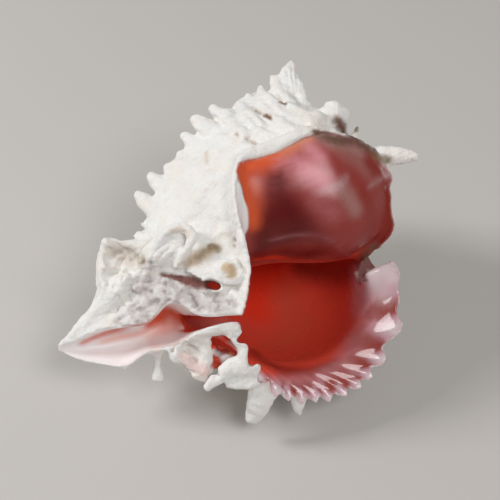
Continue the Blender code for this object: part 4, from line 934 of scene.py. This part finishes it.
def canal_block():
    """The solid of the canal, with smooth sides through its lines."""
    lines = np.stack([along(line, BLOCK_ROWS) for line in CANAL_OUTSIDE.values()], axis=1)
    sides = lines.shape[1]
    rings = []
    for ring in lines:
        wrapped = np.concatenate([ring[-2:], ring, ring[:3]])
        places = np.linspace(0, sides, BLOCK_PLACES * sides + 1)[:-1]
        rings.append(hermite(np.arange(-2, sides + 3), wrapped, places))
    return loft("canal_block", rings)


def canal_floor():
    """Rows of points across the canal's floor, from its tip to the mouth."""
    lines = np.stack([along(line, FLOOR_ROWS) for line in CANAL_INSIDE.values()], axis=1)
    return np.stack([along(line, FLOOR_PLACES) for line in lines])


def canal_air():
    """The air in the canal, from its floor out towards the eye."""
    out = TO_EYE * AIR_REACH
    return loft("canal_air", [np.concatenate([row, row[-1:] + out, row[:1] + out]) for row in canal_floor()])


def left_rib_spines():
    """The row of folded spines that stands up along the left rib."""
    made = []
    for tip in np.asarray(LEFT_RIB_TIPS, float):
        path = (tip + RIB_FOLD_INNER, tip + RIB_FOLD_ROOT, tip + RIB_FOLD_NECK, tip)
        made.append(bar("spine", path, RIB_FOLD_WIDTHS, RIB_FOLD_FLATNESS))
    return made


def spine_path(root, tip):
    return root, root + (tip - root) * SPINE_BEND, tip


def section_index(place):
    """The number of the section's point at a share along it."""
    return int(round(place * (SECTION_POINTS - 1)))


def rib_spines():
    """The rows of spines on the ribs that the mouth doesn't hide."""
    made = []
    for turn, rib_height, share, has_shoulder in RIBS:
        size = growth(turn)
        if not share or size < SMALLEST_RIB:
            continue
        points = section(turn)
        normals = section_normals(points)
        for place, length in RIB_SPINES if has_shoulder else RIB_SPINES[1:]:
            index = section_index(place)
            (radius, height), (out, up) = points[index], normals[index]
            rise = (length * share + rib_height * SPINE_ON_RIB) * size**0.6
            root = polar(radius - SPINE_ROOT * size, LIP_AZIMUTH + turn, height)
            tip = polar(radius + out * rise, LIP_AZIMUTH + turn, height + (up + SPINE_SWEEP) * rise)
            wide = (SPINE_WIDTH + SPINE_WIDENING * length) * size**0.5
            widths = (wide, wide * SPINE_TAPER, SPINE_TIP)
            made.append(bar("spine", spine_path(root, tip), widths, SPINE_FLATNESS, UPWARDS))
    return made


def rest_spines():
    """Stout spines under the shell that end a little below the table top."""
    down = -to_frame(np.eye(3))[:, 2]
    made = []
    for turn, place in REST_SPINES:
        radius, height = section(turn)[section_index(place)]
        root = polar(radius - REST_ROOT, LIP_AZIMUTH + turn, height)
        out = unit(polar(1.0, LIP_AZIMUTH + turn, REST_LEAN))
        far = (AXIS_HEIGHT + WORN - root @ down) / (out @ down)
        made.append(bar("rest", spine_path(root, root + out * far), REST_WIDTHS, REST_FLATNESS, UPWARDS))
    return made


def corners(mesh):
    """The places of a mesh's vertices."""
    points = np.empty(len(mesh.vertices) * 3, np.float32)
    mesh.vertices.foreach_get("co", points)
    return points.reshape(-1, 3).astype(float)


def set_corners(mesh, points):
    mesh.vertices.foreach_set("co", np.asarray(points, np.float32).ravel())
    mesh.update()


def facing(mesh):
    """The way that each vertex faces."""
    ways = np.empty(len(mesh.vertices) * 3, np.float32)
    mesh.vertex_normals.foreach_get("vector", ways)
    return ways.reshape(-1, 3).astype(float)


def put_in_frame(made):
    """Move a mesh from the shell's axes, in millimetres, to the frame, in metres."""
    set_corners(made.data, (to_frame(corners(made.data)) + ORIGIN) * METRES)


def applied(made):
    """The same object with its modifiers applied."""
    mesh = bpy.data.meshes.new_from_object(made.evaluated_get(bpy.context.evaluated_depsgraph_get()))
    made.modifiers.clear()
    made.data = mesh
    return made


def keep_largest(made):
    """Drop every loose patch of faces but the largest."""
    work = bmesh.new()
    work.from_mesh(made.data)
    seen, groups = set(), []
    for start in work.verts:
        if start in seen:
            continue
        seen.add(start)
        group, stack = [], [start]
        while stack:
            vertex = stack.pop()
            group.append(vertex)
            for edge in vertex.link_edges:
                other = edge.other_vert(vertex)
                if other not in seen:
                    seen.add(other)
                    stack.append(other)
        groups.append(group)
    groups.sort(key=len)
    for group in groups[:-1]:
        bmesh.ops.delete(work, geom=group, context="VERTS")
    work.to_mesh(made.data)
    work.free()


def joined(parts, name):
    """One object of all the parts' meshes, which may still overlap."""
    vertices, faces = [], []
    for piece in parts:
        start = len(vertices)
        vertices += [tuple(v.co) for v in piece.data.vertices]
        faces += [tuple(start + i for i in p.vertices) for p in piece.data.polygons]
        bpy.data.objects.remove(piece)
    mesh = bpy.data.meshes.new(name)
    mesh.from_pydata(vertices, [], faces)
    return link_new(name, mesh)


def fuse(made, voxel):
    """One clean skin round everything, parts that overlap included."""
    skin = made.modifiers.new("fuse", "REMESH")
    skin.mode = "VOXEL"
    skin.voxel_size = voxel
    keep_largest(applied(made))


def subtract(made, cutter):
    cut = made.modifiers.new("cut " + cutter.name, "BOOLEAN")
    cut.operation = "DIFFERENCE"
    cut.solver = "MANIFOLD"
    cut.object = cutter
    applied(made)
    bpy.data.objects.remove(cutter)


def thin_out(made, most):
    """Fewer triangles, with the form kept."""
    made.data.calc_loop_triangles()
    fewer = made.modifiers.new("thin out", "DECIMATE")
    fewer.ratio = min(1.0, most / len(made.data.loop_triangles))
    applied(made)


def evened(mesh, values, rounds):
    """The values, each drawn half way to the mean of its neighbours, a number of times."""
    ends = np.empty(len(mesh.edges) * 2, np.int32)
    mesh.edges.foreach_get("vertices", ends)
    one, other = ends.reshape(-1, 2).T
    flat = np.asarray(values, float)
    flat = flat[:, None] if flat.ndim == 1 else flat
    count = np.bincount(one, minlength=len(flat)) + np.bincount(other, minlength=len(flat))
    for _ in range(rounds):
        total = np.stack([
            np.bincount(one, column[other], len(flat)) + np.bincount(other, column[one], len(flat))
            for column in flat.T
        ], axis=1)
        flat = flat + (total / count[:, None] - flat) * 0.5
    return flat.reshape(np.shape(values))


def nearest(points, rings):
    """How far the surface through the rings is from each point, its nearest ring and place there."""
    rings = np.asarray(rings, float)
    rows, size, _ = rings.shape
    tree = BVHTree.FromPolygons([tuple(p) for p in rings.reshape(-1, 3)], ring_faces(rows, size))
    gap, face = np.empty(len(points)), np.empty(len(points), int)
    for i, point in enumerate(points):
        _, _, face[i], gap[i] = tree.find_nearest(point)
    return gap, *np.divmod(face, size)


def from_line(points, line):
    """How far the line of points is from each point, and the nearest place on the line."""
    line = np.asarray(line, float)
    best, where = np.full(len(points), 1e9), np.zeros(len(points))
    for index, (start, end) in enumerate(zip(line[:-1], line[1:])):
        run = end - start
        share = np.clip((points - start) @ run / max(run @ run, 1e-9), 0, 1)
        away = np.linalg.norm(points - start - share[:, None] * run, axis=1)
        closer = away < best
        best[closer] = away[closer]
        where[closer] = (index + share)[closer]
    return best, where


def stroke(points, path, reach, soft):
    """1 on a brush stroke along the path, fading to 0 at its reach."""
    path, reach = np.asarray(path, float), np.broadcast_to(reach, len(path))
    low, high = path.min(axis=0) - reach.max(), path.max(axis=0) + reach.max()
    near = (points > low).all(axis=1) & (points < high).all(axis=1)
    mask = np.zeros(len(points))
    away, where = from_line(points[near], path)
    wide = np.interp(where, np.arange(len(path)), reach)
    mask[near] = 1 - ease((away - wide * (1 - soft)) / (wide * soft))
    return mask


def shell_tree(mesh):
    mesh.calc_loop_triangles()
    faces = [tuple(t.vertices) for t in mesh.loop_triangles]
    return BVHTree.FromPolygons([tuple(v.co) for v in mesh.vertices], faces)


def set_down(tree, pixels):
    """The picture points, set down on the shell as the eye sees it, or beside it on its nearest
    spot, in the shell's axes."""
    found = []
    for x, y in pixels:
        aim = (MIDDLE + RIGHT * (x - PHOTO_SIZE / 2) * MM_PER_PIXEL
               + OVER * (PHOTO_SIZE / 2 - y) * MM_PER_PIXEL) * METRES
        spot = tree.ray_cast(Vector(EYE), Vector(aim - EYE))[0] or tree.find_nearest(Vector(aim))[0]
        found.append(to_shell(np.array(spot)))
    return np.array(found)


def inside(points, rings):
    """0 on the mouth's rim and its flutes, 1 well inside it."""
    inner, _ = from_line(points, rings[0][:INNER_PLACES + 1:4])
    outer, _ = from_line(points, rings[0][INNER_PLACES::4])
    return rising(inner, *CALM_INNER) * rising(outer, *CALM_OUTER)


def glaze_at(mesh, points, rings, shifted=0.0):
    """Where the surface is glazed: in the mouth and the whorl behind it, and in the canal. Also
    each point's place round the mouth."""
    deep = rings + hollow_whorl()
    mouth_gap, row, place_round = nearest(points, deep)
    floor = canal_floor()
    canal_gap, _, _ = nearest(points, np.concatenate([floor, floor[:, ::-1]], axis=1))
    within = GLAZE_WITHIN + shifted * inside(points, rings)
    mouth = 1 - rising(mouth_gap, within, GLAZE_FADE)
    canal = 1 - rising(canal_gap, GLAZE_WITHIN, GLAZE_FADE)
    # Along the hollow, a surface that faces away from the middle is on the outside of the wall.
    from_middle = unit(points - np.mean(deep, axis=1)[row])
    outside = np.sum(from_middle * ways_to_shell(facing(mesh)), axis=1) > FACES_AWAY
    mouth[outside & (row >= len(rings) - DEEPEST_RINGS)] = 0
    return mouth, canal, place_round


def pits(points):
    """Little pits, 1 where they are deepest."""
    return np.clip(rough(points, PIT_LUMPS) - PIT_LEVEL, 0, 1)


def relief(points, tree, glaze):
    """How far the surface stands out or sinks in, in millimetres."""
    rise = rough(points, CHALK_LUMPS)
    _, azimuth = to_polar(points)
    rise += LINE_HEIGHT * np.sin(rough(points, LINE_LUMPS, azimuth * LINE_COUNT))
    pitted = np.zeros(len(points))
    for path, reach in PITTED:
        pitted = np.maximum(pitted, stroke(points, set_down(tree, path), reach, HALF_SOFT))
    rise += pitted * (rough(points, PITTED_LUMPS) - PIT_DEPTH * pits(points))
    rise *= 1 - glaze
    for name, path, reach, _, _ in STROKES:
        if name in RAISED:
            rise += stroke(points, set_down(tree, path), reach, HALF_SOFT) * RAISED[name]
    for path, reach, depth in FURROWS:
        rise -= stroke(points, set_down(tree, path), reach, 1.0) * depth
    return rise


def lip_of(rings, points):
    """The outer rim's nearness, and the share along it, for each point."""
    away, where = from_line(points, rings[0][INNER_PLACES::2])
    return away, where * 2 / (OUTER_PLACES - 1)


def carved(rings, voxel):
    """The shell as one skin: all its solids, less the air in its hollows."""
    solids = [coil(), mouth_wall(rings), canal_block(), *left_rib_spines(), *rib_spines(), *rest_spines()]
    solids += [bar(name, *shape) for name, shape in BARS.items()]
    hollows = [bar(name, *shape) for name, shape in HOLLOWS.items()]
    hollows += [canal_air(), mouth_air(rings)]
    for made in solids + hollows:
        put_in_frame(made)
    shell = joined(solids, "shell")
    fuse(shell, voxel * FIRST_SKIN)
    air = joined(hollows, "air")
    fuse(air, voxel)
    subtract(shell, air)
    fuse(shell, voxel)
    return shell


def build_shell(sizes):
    """Carve the shell, even it out, give it its fine relief and thin it out inside its box."""
    rings = mouth_rings()
    shell = carved(rings, sizes.skin)
    mesh = shell.data
    placed = corners(mesh)
    points = to_shell(placed)
    mouth, canal, _ = glaze_at(mesh, points, rings)
    glaze = np.maximum(mouth, canal)
    smooth = evened(mesh, placed, SMOOTH_ROUNDS)
    placed += (smooth - placed) * (CHALK_SMOOTHING + (1 - CHALK_SMOOTHING) * glaze)[:, None]
    calm = evened(mesh, mouth * inside(points, rings), CALM_EDGE_ROUNDS)[:, None]
    broad = evened(mesh, placed, CALM_ROUNDS) - placed
    most = CALM_MOST * METRES / np.maximum(np.linalg.norm(broad, axis=1, keepdims=True), 1e-9)
    placed += broad * np.minimum(most, 1) * calm
    set_corners(mesh, placed)
    rise = relief(to_shell(placed), shell_tree(mesh), evened(mesh, glaze, GLAZE_EDGE_ROUNDS))
    set_corners(mesh, placed + facing(mesh) * (rise * METRES)[:, None])
    thin_out(shell, sizes.most_triangles)
    set_corners(shell.data, np.clip(corners(shell.data), CAD_BOX[0], CAD_BOX[1]))
    return shell, rings


def keep_value(mesh, name, values):
    """Keep a mask on the mesh for the finish to read."""
    layer = mesh.attributes.new(name, "FLOAT", "POINT")
    layer.data.foreach_set("value", np.asarray(values, np.float32))


def paint(shell, rings):
    """Masks for the finish: the glaze, the mouth's parts, the lip's flutes, stains, and painted light and
    shade.
    """
    mesh = shell.data
    points = to_shell(corners(mesh))
    tree = shell_tree(mesh)
    mouth, canal, place_round = glaze_at(mesh, points, rings, CALM_MOST)
    masks = {name: np.zeros(len(points)) for name in (*FINISHES, "cover", "clear")}
    for name, path, reach, soft, strength in STROKES:
        brushed = stroke(points, set_down(tree, path), reach, soft) * strength
        masks[name] = np.maximum(masks[name], brushed)
    outer = evened(mesh, (place_round >= INNER_PLACES).astype(float), OUTER_EDGE_ROUNDS)
    masks["cup"] = np.maximum(outer, rising(points[:, 1], CUP_FROM, CUP_RUN)) * mouth
    away, share = lip_of(rings, points)
    wide = np.interp(share, LIP_SHARES, LIP_WIDTHS)
    edge = 1 - rising(away, wide * LIP_FULL, wide)
    wave = np.interp(share, np.linspace(0, 1, OUTER_PLACES), scallops()[INNER_PLACES:, 0])
    masks["lip"] = evened(mesh, edge * outer, LIP_EDGE_ROUNDS)
    # Painted shade in the flutes' valleys, and painted highlights on their crests.
    masks["valley_shade"] = masks["lip"] * falling(wave, *VALLEY_LEVEL) * rising(share, *VALLEY_START)
    masks["crest"] = masks["lip"] * rising(wave, *CREST_LEVEL) * (1 - rising(away, *CREST_REACH))
    bare = (1 - masks.pop("cover")) * (1 - masks.pop("clear"))
    masks["glaze"] = np.maximum(mouth, canal) * bare
    # Ash is strongest in the pits, as painted shade.
    masks["ash_and_pit_shade"] *= np.clip(rough(points, ASH_LUMPS, ASH_SHARE + ASH_SHADE_IN_PITS * pits(points)), 0, 1)
    masks["mouth"] = mouth
    masks["canal"] = canal * (1 - mouth)
    for name in GLAZED:
        masks[name] *= masks["glaze"]
    for name, values in masks.items():
        keep_value(mesh, name, evened(mesh, values, 1))


def feed(tree, socket, value):
    """Set a socket to a number, or link another socket to it."""
    if isinstance(value, (int, float)):
        socket.default_value = value
    else:
        tree.links.new(value, socket)


def rgb_node(tree, colour):
    made = tree.nodes.new("ShaderNodeRGB")
    made.outputs[0].default_value = (*colour, 1)
    return made.outputs[0]


def math_node(tree, operation, one, other, clamp=False):
    made = tree.nodes.new("ShaderNodeMath")
    made.operation = operation
    made.use_clamp = clamp
    feed(tree, made.inputs[0], one)
    feed(tree, made.inputs[1], other)
    return made.outputs[0]


def mask_node(tree, name):
    made = tree.nodes.new("ShaderNodeAttribute")
    made.attribute_name = name
    return made.outputs["Fac"]


def noise_node(tree, size, detail):
    """Noise from 0 to 1 with grains of the given size in millimetres."""
    made = tree.nodes.new("ShaderNodeTexNoise")
    made.inputs["Scale"].default_value = 1 / (size * METRES)
    made.inputs["Detail"].default_value = detail
    made.inputs["Roughness"].default_value = NOISE_ROUGHNESS
    spot = tree.nodes.new("ShaderNodeTexCoord").outputs["Object"]
    tree.links.new(spot, made.inputs["Vector"])
    return made.outputs["Fac"]


def range_node(tree, value, low, high, to_low, to_high):
    made = tree.nodes.new("ShaderNodeMapRange")
    made.inputs["From Min"].default_value = low
    made.inputs["From Max"].default_value = high
    made.inputs["To Min"].default_value = to_low
    made.inputs["To Max"].default_value = to_high
    tree.links.new(value, made.inputs["Value"])
    return made.outputs["Result"]


def mix_node(tree, factor, one, other, kind="RGBA"):
    """From one to the other as the factor grows, for colours or, if the kind is FLOAT, numbers."""
    made = tree.nodes.new("ShaderNodeMix")
    made.data_type = kind
    feed(tree, made.inputs["Factor"], factor)
    feed(tree, made.inputs["A"], one)
    feed(tree, made.inputs["B"], other)
    return made.outputs["Result"]


def chalk_colour(tree, colours, broad, grain):
    """The colour of the bare chalk, with warm patches and fine specks."""
    colour = rgb_node(tree, colours.chalk)
    cream = range_node(tree, broad, *CREAM_RANGE)
    colour = mix_node(tree, cream, colour, rgb_node(tree, colours.cream))
    specks = range_node(tree, grain, *SPECK_RANGE)
    return mix_node(tree, specks, colour, rgb_node(tree, colours.shade))


def layered(tree, colours, colour, broad, grain):
    """The colour with every finish over it. Noise shifts a mask where it is half strong."""
    ragged = range_node(tree, grain, *RAGGED_RANGE)
    soft = range_node(tree, broad, *SOFT_RANGE)
    for name in FINISHES:
        mask = mask_node(tree, name)
        edge = math_node(tree, "MULTIPLY", mask, math_node(tree, "SUBTRACT", 1, mask))
        edge = math_node(tree, "MULTIPLY", edge, 4)
        shift = math_node(tree, "MULTIPLY", ragged if name in STAINS_AND_SHADES else soft, edge)
        mask = math_node(tree, "ADD", mask, shift, clamp=True)
        colour = mix_node(tree, mask, colour, rgb_node(tree, getattr(colours, name)))
    return colour


def shell_finish(colours):
    """Chalk outside and glaze in the mouth, as one material that reads the mesh's masks."""
    made = bpy.data.materials.new("chalk and glaze")
    made.use_nodes = True
    tree = made.node_tree
    surface = tree.nodes["Principled BSDF"].inputs
    broad, grain, fine = (noise_node(tree, *noise) for noise in (BROAD_NOISE, GRAIN_NOISE, FINE_NOISE))
    colour = layered(tree, colours, chalk_colour(tree, colours, broad, grain), broad, grain)
    tree.links.new(colour, surface["Base Color"])

    glaze = math_node(tree, "MAXIMUM", mask_node(tree, "glaze"), mask_node(tree, "band"))
    clean = math_node(tree, "SUBTRACT", 1, mask_node(tree, "grime_and_shade"), clamp=True)
    glaze = math_node(tree, "MULTIPLY", glaze, clean)
    dull = range_node(tree, fine, *CHALK_ROUGHNESS)
    shiny = range_node(tree, broad, *GLAZE_ROUGHNESS)
    shiny = mix_node(tree, mask_node(tree, "lip"), shiny, LIP_ROUGHNESS, "FLOAT")
    tree.links.new(mix_node(tree, glaze, dull, shiny, "FLOAT"), surface["Roughness"])
    surface["Specular IOR Level"].default_value = SPECULAR
    coat = math_node(tree, "MULTIPLY", mask_node(tree, "lip"), LIP_COAT)
    tree.links.new(coat, surface["Coat Weight"])
    surface["Coat Roughness"].default_value = COAT_ROUGHNESS
    surface["Subsurface Weight"].default_value = GLOW_WEIGHT
    surface["Subsurface Radius"].default_value = GLOW_RADIUS
    surface["Subsurface Scale"].default_value = GLOW_SCALE

    coarse = math_node(tree, "MULTIPLY", grain, BUMP_GRAIN)
    pitted = math_node(tree, "ADD", coarse, math_node(tree, "MULTIPLY", fine, BUMP_FINE))
    bump = tree.nodes.new("ShaderNodeBump")
    bump.inputs["Strength"].default_value = BUMP_STRENGTH
    bump.inputs["Distance"].default_value = BUMP_HEIGHT
    chalky = math_node(tree, "SUBTRACT", 1.0, glaze, clamp=True)
    tree.links.new(math_node(tree, "MULTIPLY", pitted, chalky), bump.inputs["Height"])
    tree.links.new(bump.outputs["Normal"], surface["Normal"])
    return made


def make_floor(colours):
    far = FLOOR_HALF
    mesh = bpy.data.meshes.new("floor")
    mesh.from_pydata([(-far, -far, 0), (far, -far, 0), (far, far, 0), (-far, far, 0)], [], [(0, 1, 2, 3)])
    floor = link_new("floor", mesh)
    made = bpy.data.materials.new("pale floor")
    made.use_nodes = True
    surface = made.node_tree.nodes["Principled BSDF"].inputs
    surface["Base Color"].default_value = (*colours.floor, 1)
    surface["Roughness"].default_value = FLOOR_ROUGHNESS
    mesh.materials.append(made)


def make_lights():
    world = bpy.data.worlds.new("soft room")
    bpy.context.scene.world = world
    world.use_nodes = True
    room = world.node_tree.nodes["Background"].inputs
    room["Color"].default_value = (*ROOM_COLOUR, 1)
    room["Strength"].default_value = ROOM_STRENGTH
    for name, (way, away, size, power) in LAMPS.items():
        light = bpy.data.lights.new(name, "AREA")
        light.size = size
        light.energy = power
        made = link_new(name, light)
        made.location = Vector(LAMPS_AIM) + Vector(way).normalized() * away
        made.rotation_mode = "QUATERNION"
        made.rotation_quaternion = Vector(way).to_track_quat("Z", "Y")


def make_camera():
    lens = bpy.data.cameras.new("camera")
    lens.sensor_width = SENSOR_WIDTH
    lens.lens = lens.sensor_width * EYE_DISTANCE / (PHOTO_SIZE * MM_PER_PIXEL)
    lens.clip_start = CLIP_START
    made = link_new("camera", lens)
    matrix = Matrix((RIGHT, OVER, TOWARDS)).transposed().to_4x4()
    matrix.translation = EYE
    made.matrix_world = matrix
    bpy.context.scene.camera = made


def length_value(name, about, default):
    return bpy.props.FloatProperty(name=name, description=about, default=default, unit="LENGTH")


def colour_value(name, about, default):
    return bpy.props.FloatVectorProperty(name=name, description=about, subtype="COLOR", default=default,
                                         min=0, max=1)


class MurexSizes(bpy.types.PropertyGroup):
    skin: length_value("Skin", "Fineness of the shell's skin", 0.00042)
    most_triangles: bpy.props.IntProperty(name="Triangles", description="Most triangles in the shell",
                                          default=195000)


class MurexColours(bpy.types.PropertyGroup):
    chalk: colour_value("Chalk", "The chalky outside", (0.90, 0.89, 0.87))
    cream: colour_value("Cream", "Warm patches of the outside", (0.88, 0.81, 0.72))
    shade: colour_value("Speck", "Fine specks of the outside", (0.78, 0.73, 0.67))
    # Ash: the grey rough faces, darker in the pits with painted shade.
    ash_and_pit_shade: colour_value("Ash", "Greyish pitted faces beside the canal", (0.46, 0.40, 0.40))
    mouth: colour_value("Shield", "The glazed shield", (0.33, 0.045, 0.038))
    cup: colour_value("Cup", "The hollow of the mouth", (0.82, 0.085, 0.048))
    clay: colour_value("Clay", "Browner red at the middle of the cup", (0.72, 0.10, 0.055))
    glow: colour_value("Glow", "The brightest red, where light gathers", (0.95, 0.05, 0.02))
    # Apricot and orange: painted light shining through the thin edges of the shield.
    backlit_apricot: colour_value("Apricot", "The upper edge of the shield", (0.72, 0.24, 0.12))
    backlit_orange: colour_value("Orange", "The upper left corner of the shield", (0.74, 0.11, 0.035))
    # Maroon: painted shade where the shield turns away from the light.
    maroon_shade: colour_value("Maroon", "The dark part of the shield", (0.12, 0.004, 0.004))
    # Blush: painted highlight, the broad reflection on the shield's bulge.
    blush_highlight: colour_value("Blush", "The pale bulge of the shield", (0.80, 0.34, 0.38))
    smoke: colour_value("Smoke", "Greyish brown on the shield", (0.42, 0.20, 0.18))
    # Ember: painted shade on the shield's right edge, in the cup and between the lip's plates.
    ember_shade: colour_value("Ember", "The thin right edge of the shield", (0.27, 0.022, 0.014))
    # Pearl: painted highlights on the glaze.
    pearl_highlight: colour_value("Pearl", "Pale worn tips of the glaze", (0.85, 0.72, 0.72))
    lip: colour_value("Lip", "The plates along the outer lip", (0.75, 0.48, 0.54))
    # Valley and crest: painted shade between the plates, and painted highlights on their ridges.
    valley_shade: colour_value("Valley", "Between the plates of the lip", (0.42, 0.07, 0.055))
    crest: colour_value("Crest", "The upper ridges of the plates", (0.88, 0.72, 0.74))
    blossom: colour_value("Blossom", "Pink tinge on the frill", (0.88, 0.66, 0.62))
    canal: colour_value("Canal", "The glazed floor of the canal", (0.96, 0.91, 0.90))
    flesh: colour_value("Flesh", "Pink in the canal", (0.88, 0.50, 0.44))
    coral: colour_value("Coral", "Orange red under the canal's edge", (0.68, 0.085, 0.03))
    rose: colour_value("Rose", "Pink red where the canal meets the mouth", (0.74, 0.24, 0.20))
    # Umber: dark brown dirt at the glaze's edges, and painted shade in the notch.
    umber_dirt_and_shade: colour_value("Umber", "Dark brown dirt at the edges of the glaze", (0.17, 0.085, 0.06))
    rust: colour_value("Rust", "Red in the gaps of the frill", (0.60, 0.08, 0.04))
    band: colour_value("Band", "The white border of the mouth", (0.93, 0.90, 0.88))
    tan: colour_value("Tan", "The worn disc on the pillar", (0.66, 0.50, 0.34))
    # Plum: darker in the groove beside the canal, and painted shade in the notch.
    plum_and_shade: colour_value("Plum", "The groove beside the canal", (0.24, 0.10, 0.09))
    # Crease: painted shade in the creases, in a dirt brown.
    crease_shade: colour_value("Crease", "Dirt in the creases", (0.42, 0.32, 0.22))
    spot: colour_value("Spot", "Brown spots on the folds", (0.22, 0.11, 0.07))
    # Grime: dirt round the spire, and painted shade at the base of the right spine.
    grime_and_shade: colour_value("Grime", "Dirt round the spire", (0.24, 0.17, 0.09))
    floor: colour_value("Floor", "The floor", (0.60, 0.575, 0.55))


class MUREX_OT_shell(bpy.types.Operator):
    """Build the shell and hang it on the frame"""

    bl_idname = "murex.shell"
    bl_label = "Shell"

    def execute(self, context):
        scene = context.scene
        shell, rings = build_shell(scene.murex_sizes)
        paint(shell, rings)
        shell.data.shade_smooth()
        shell.data.materials.clear()
        shell.data.materials.append(shell_finish(scene.murex_colours))
        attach(shell, "root")
        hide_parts(NODE)
        return {"FINISHED"}


class MUREX_OT_stage(bpy.types.Operator):
    """Lay the floor, hang the lights and set the camera"""

    bl_idname = "murex.stage"
    bl_label = "Stage"

    def execute(self, context):
        context.scene.view_settings.view_transform = "Standard"
        make_floor(context.scene.murex_colours)
        make_lights()
        make_camera()
        return {"FINISHED"}


class MUREX_PT_sidebar(bpy.types.Panel):
    bl_label = "Murex shell"
    bl_idname = "MUREX_PT_sidebar"
    bl_space_type = "VIEW_3D"
    bl_region_type = "UI"
    bl_category = "Shell"

    def draw(self, context):
        for settings in (context.scene.murex_sizes, context.scene.murex_colours):
            for name in settings.__annotations__:
                self.layout.prop(settings, name)
        for operator in OPERATORS:
            self.layout.operator(operator.bl_idname)


OPERATORS = (MUREX_OT_shell, MUREX_OT_stage)
CLASSES = (MurexSizes, MurexColours, *OPERATORS, MUREX_PT_sidebar)


def register():
    for made in CLASSES:
        bpy.utils.register_class(made)
    bpy.types.Scene.murex_sizes = bpy.props.PointerProperty(type=MurexSizes)
    bpy.types.Scene.murex_colours = bpy.props.PointerProperty(type=MurexColours)


def unregister():
    del bpy.types.Scene.murex_colours
    del bpy.types.Scene.murex_sizes
    for made in reversed(CLASSES):
        bpy.utils.unregister_class(made)


def main():
    register()
    bpy.ops.murex.shell()
    bpy.ops.murex.stage()


if __name__ == "__main__":
    main()
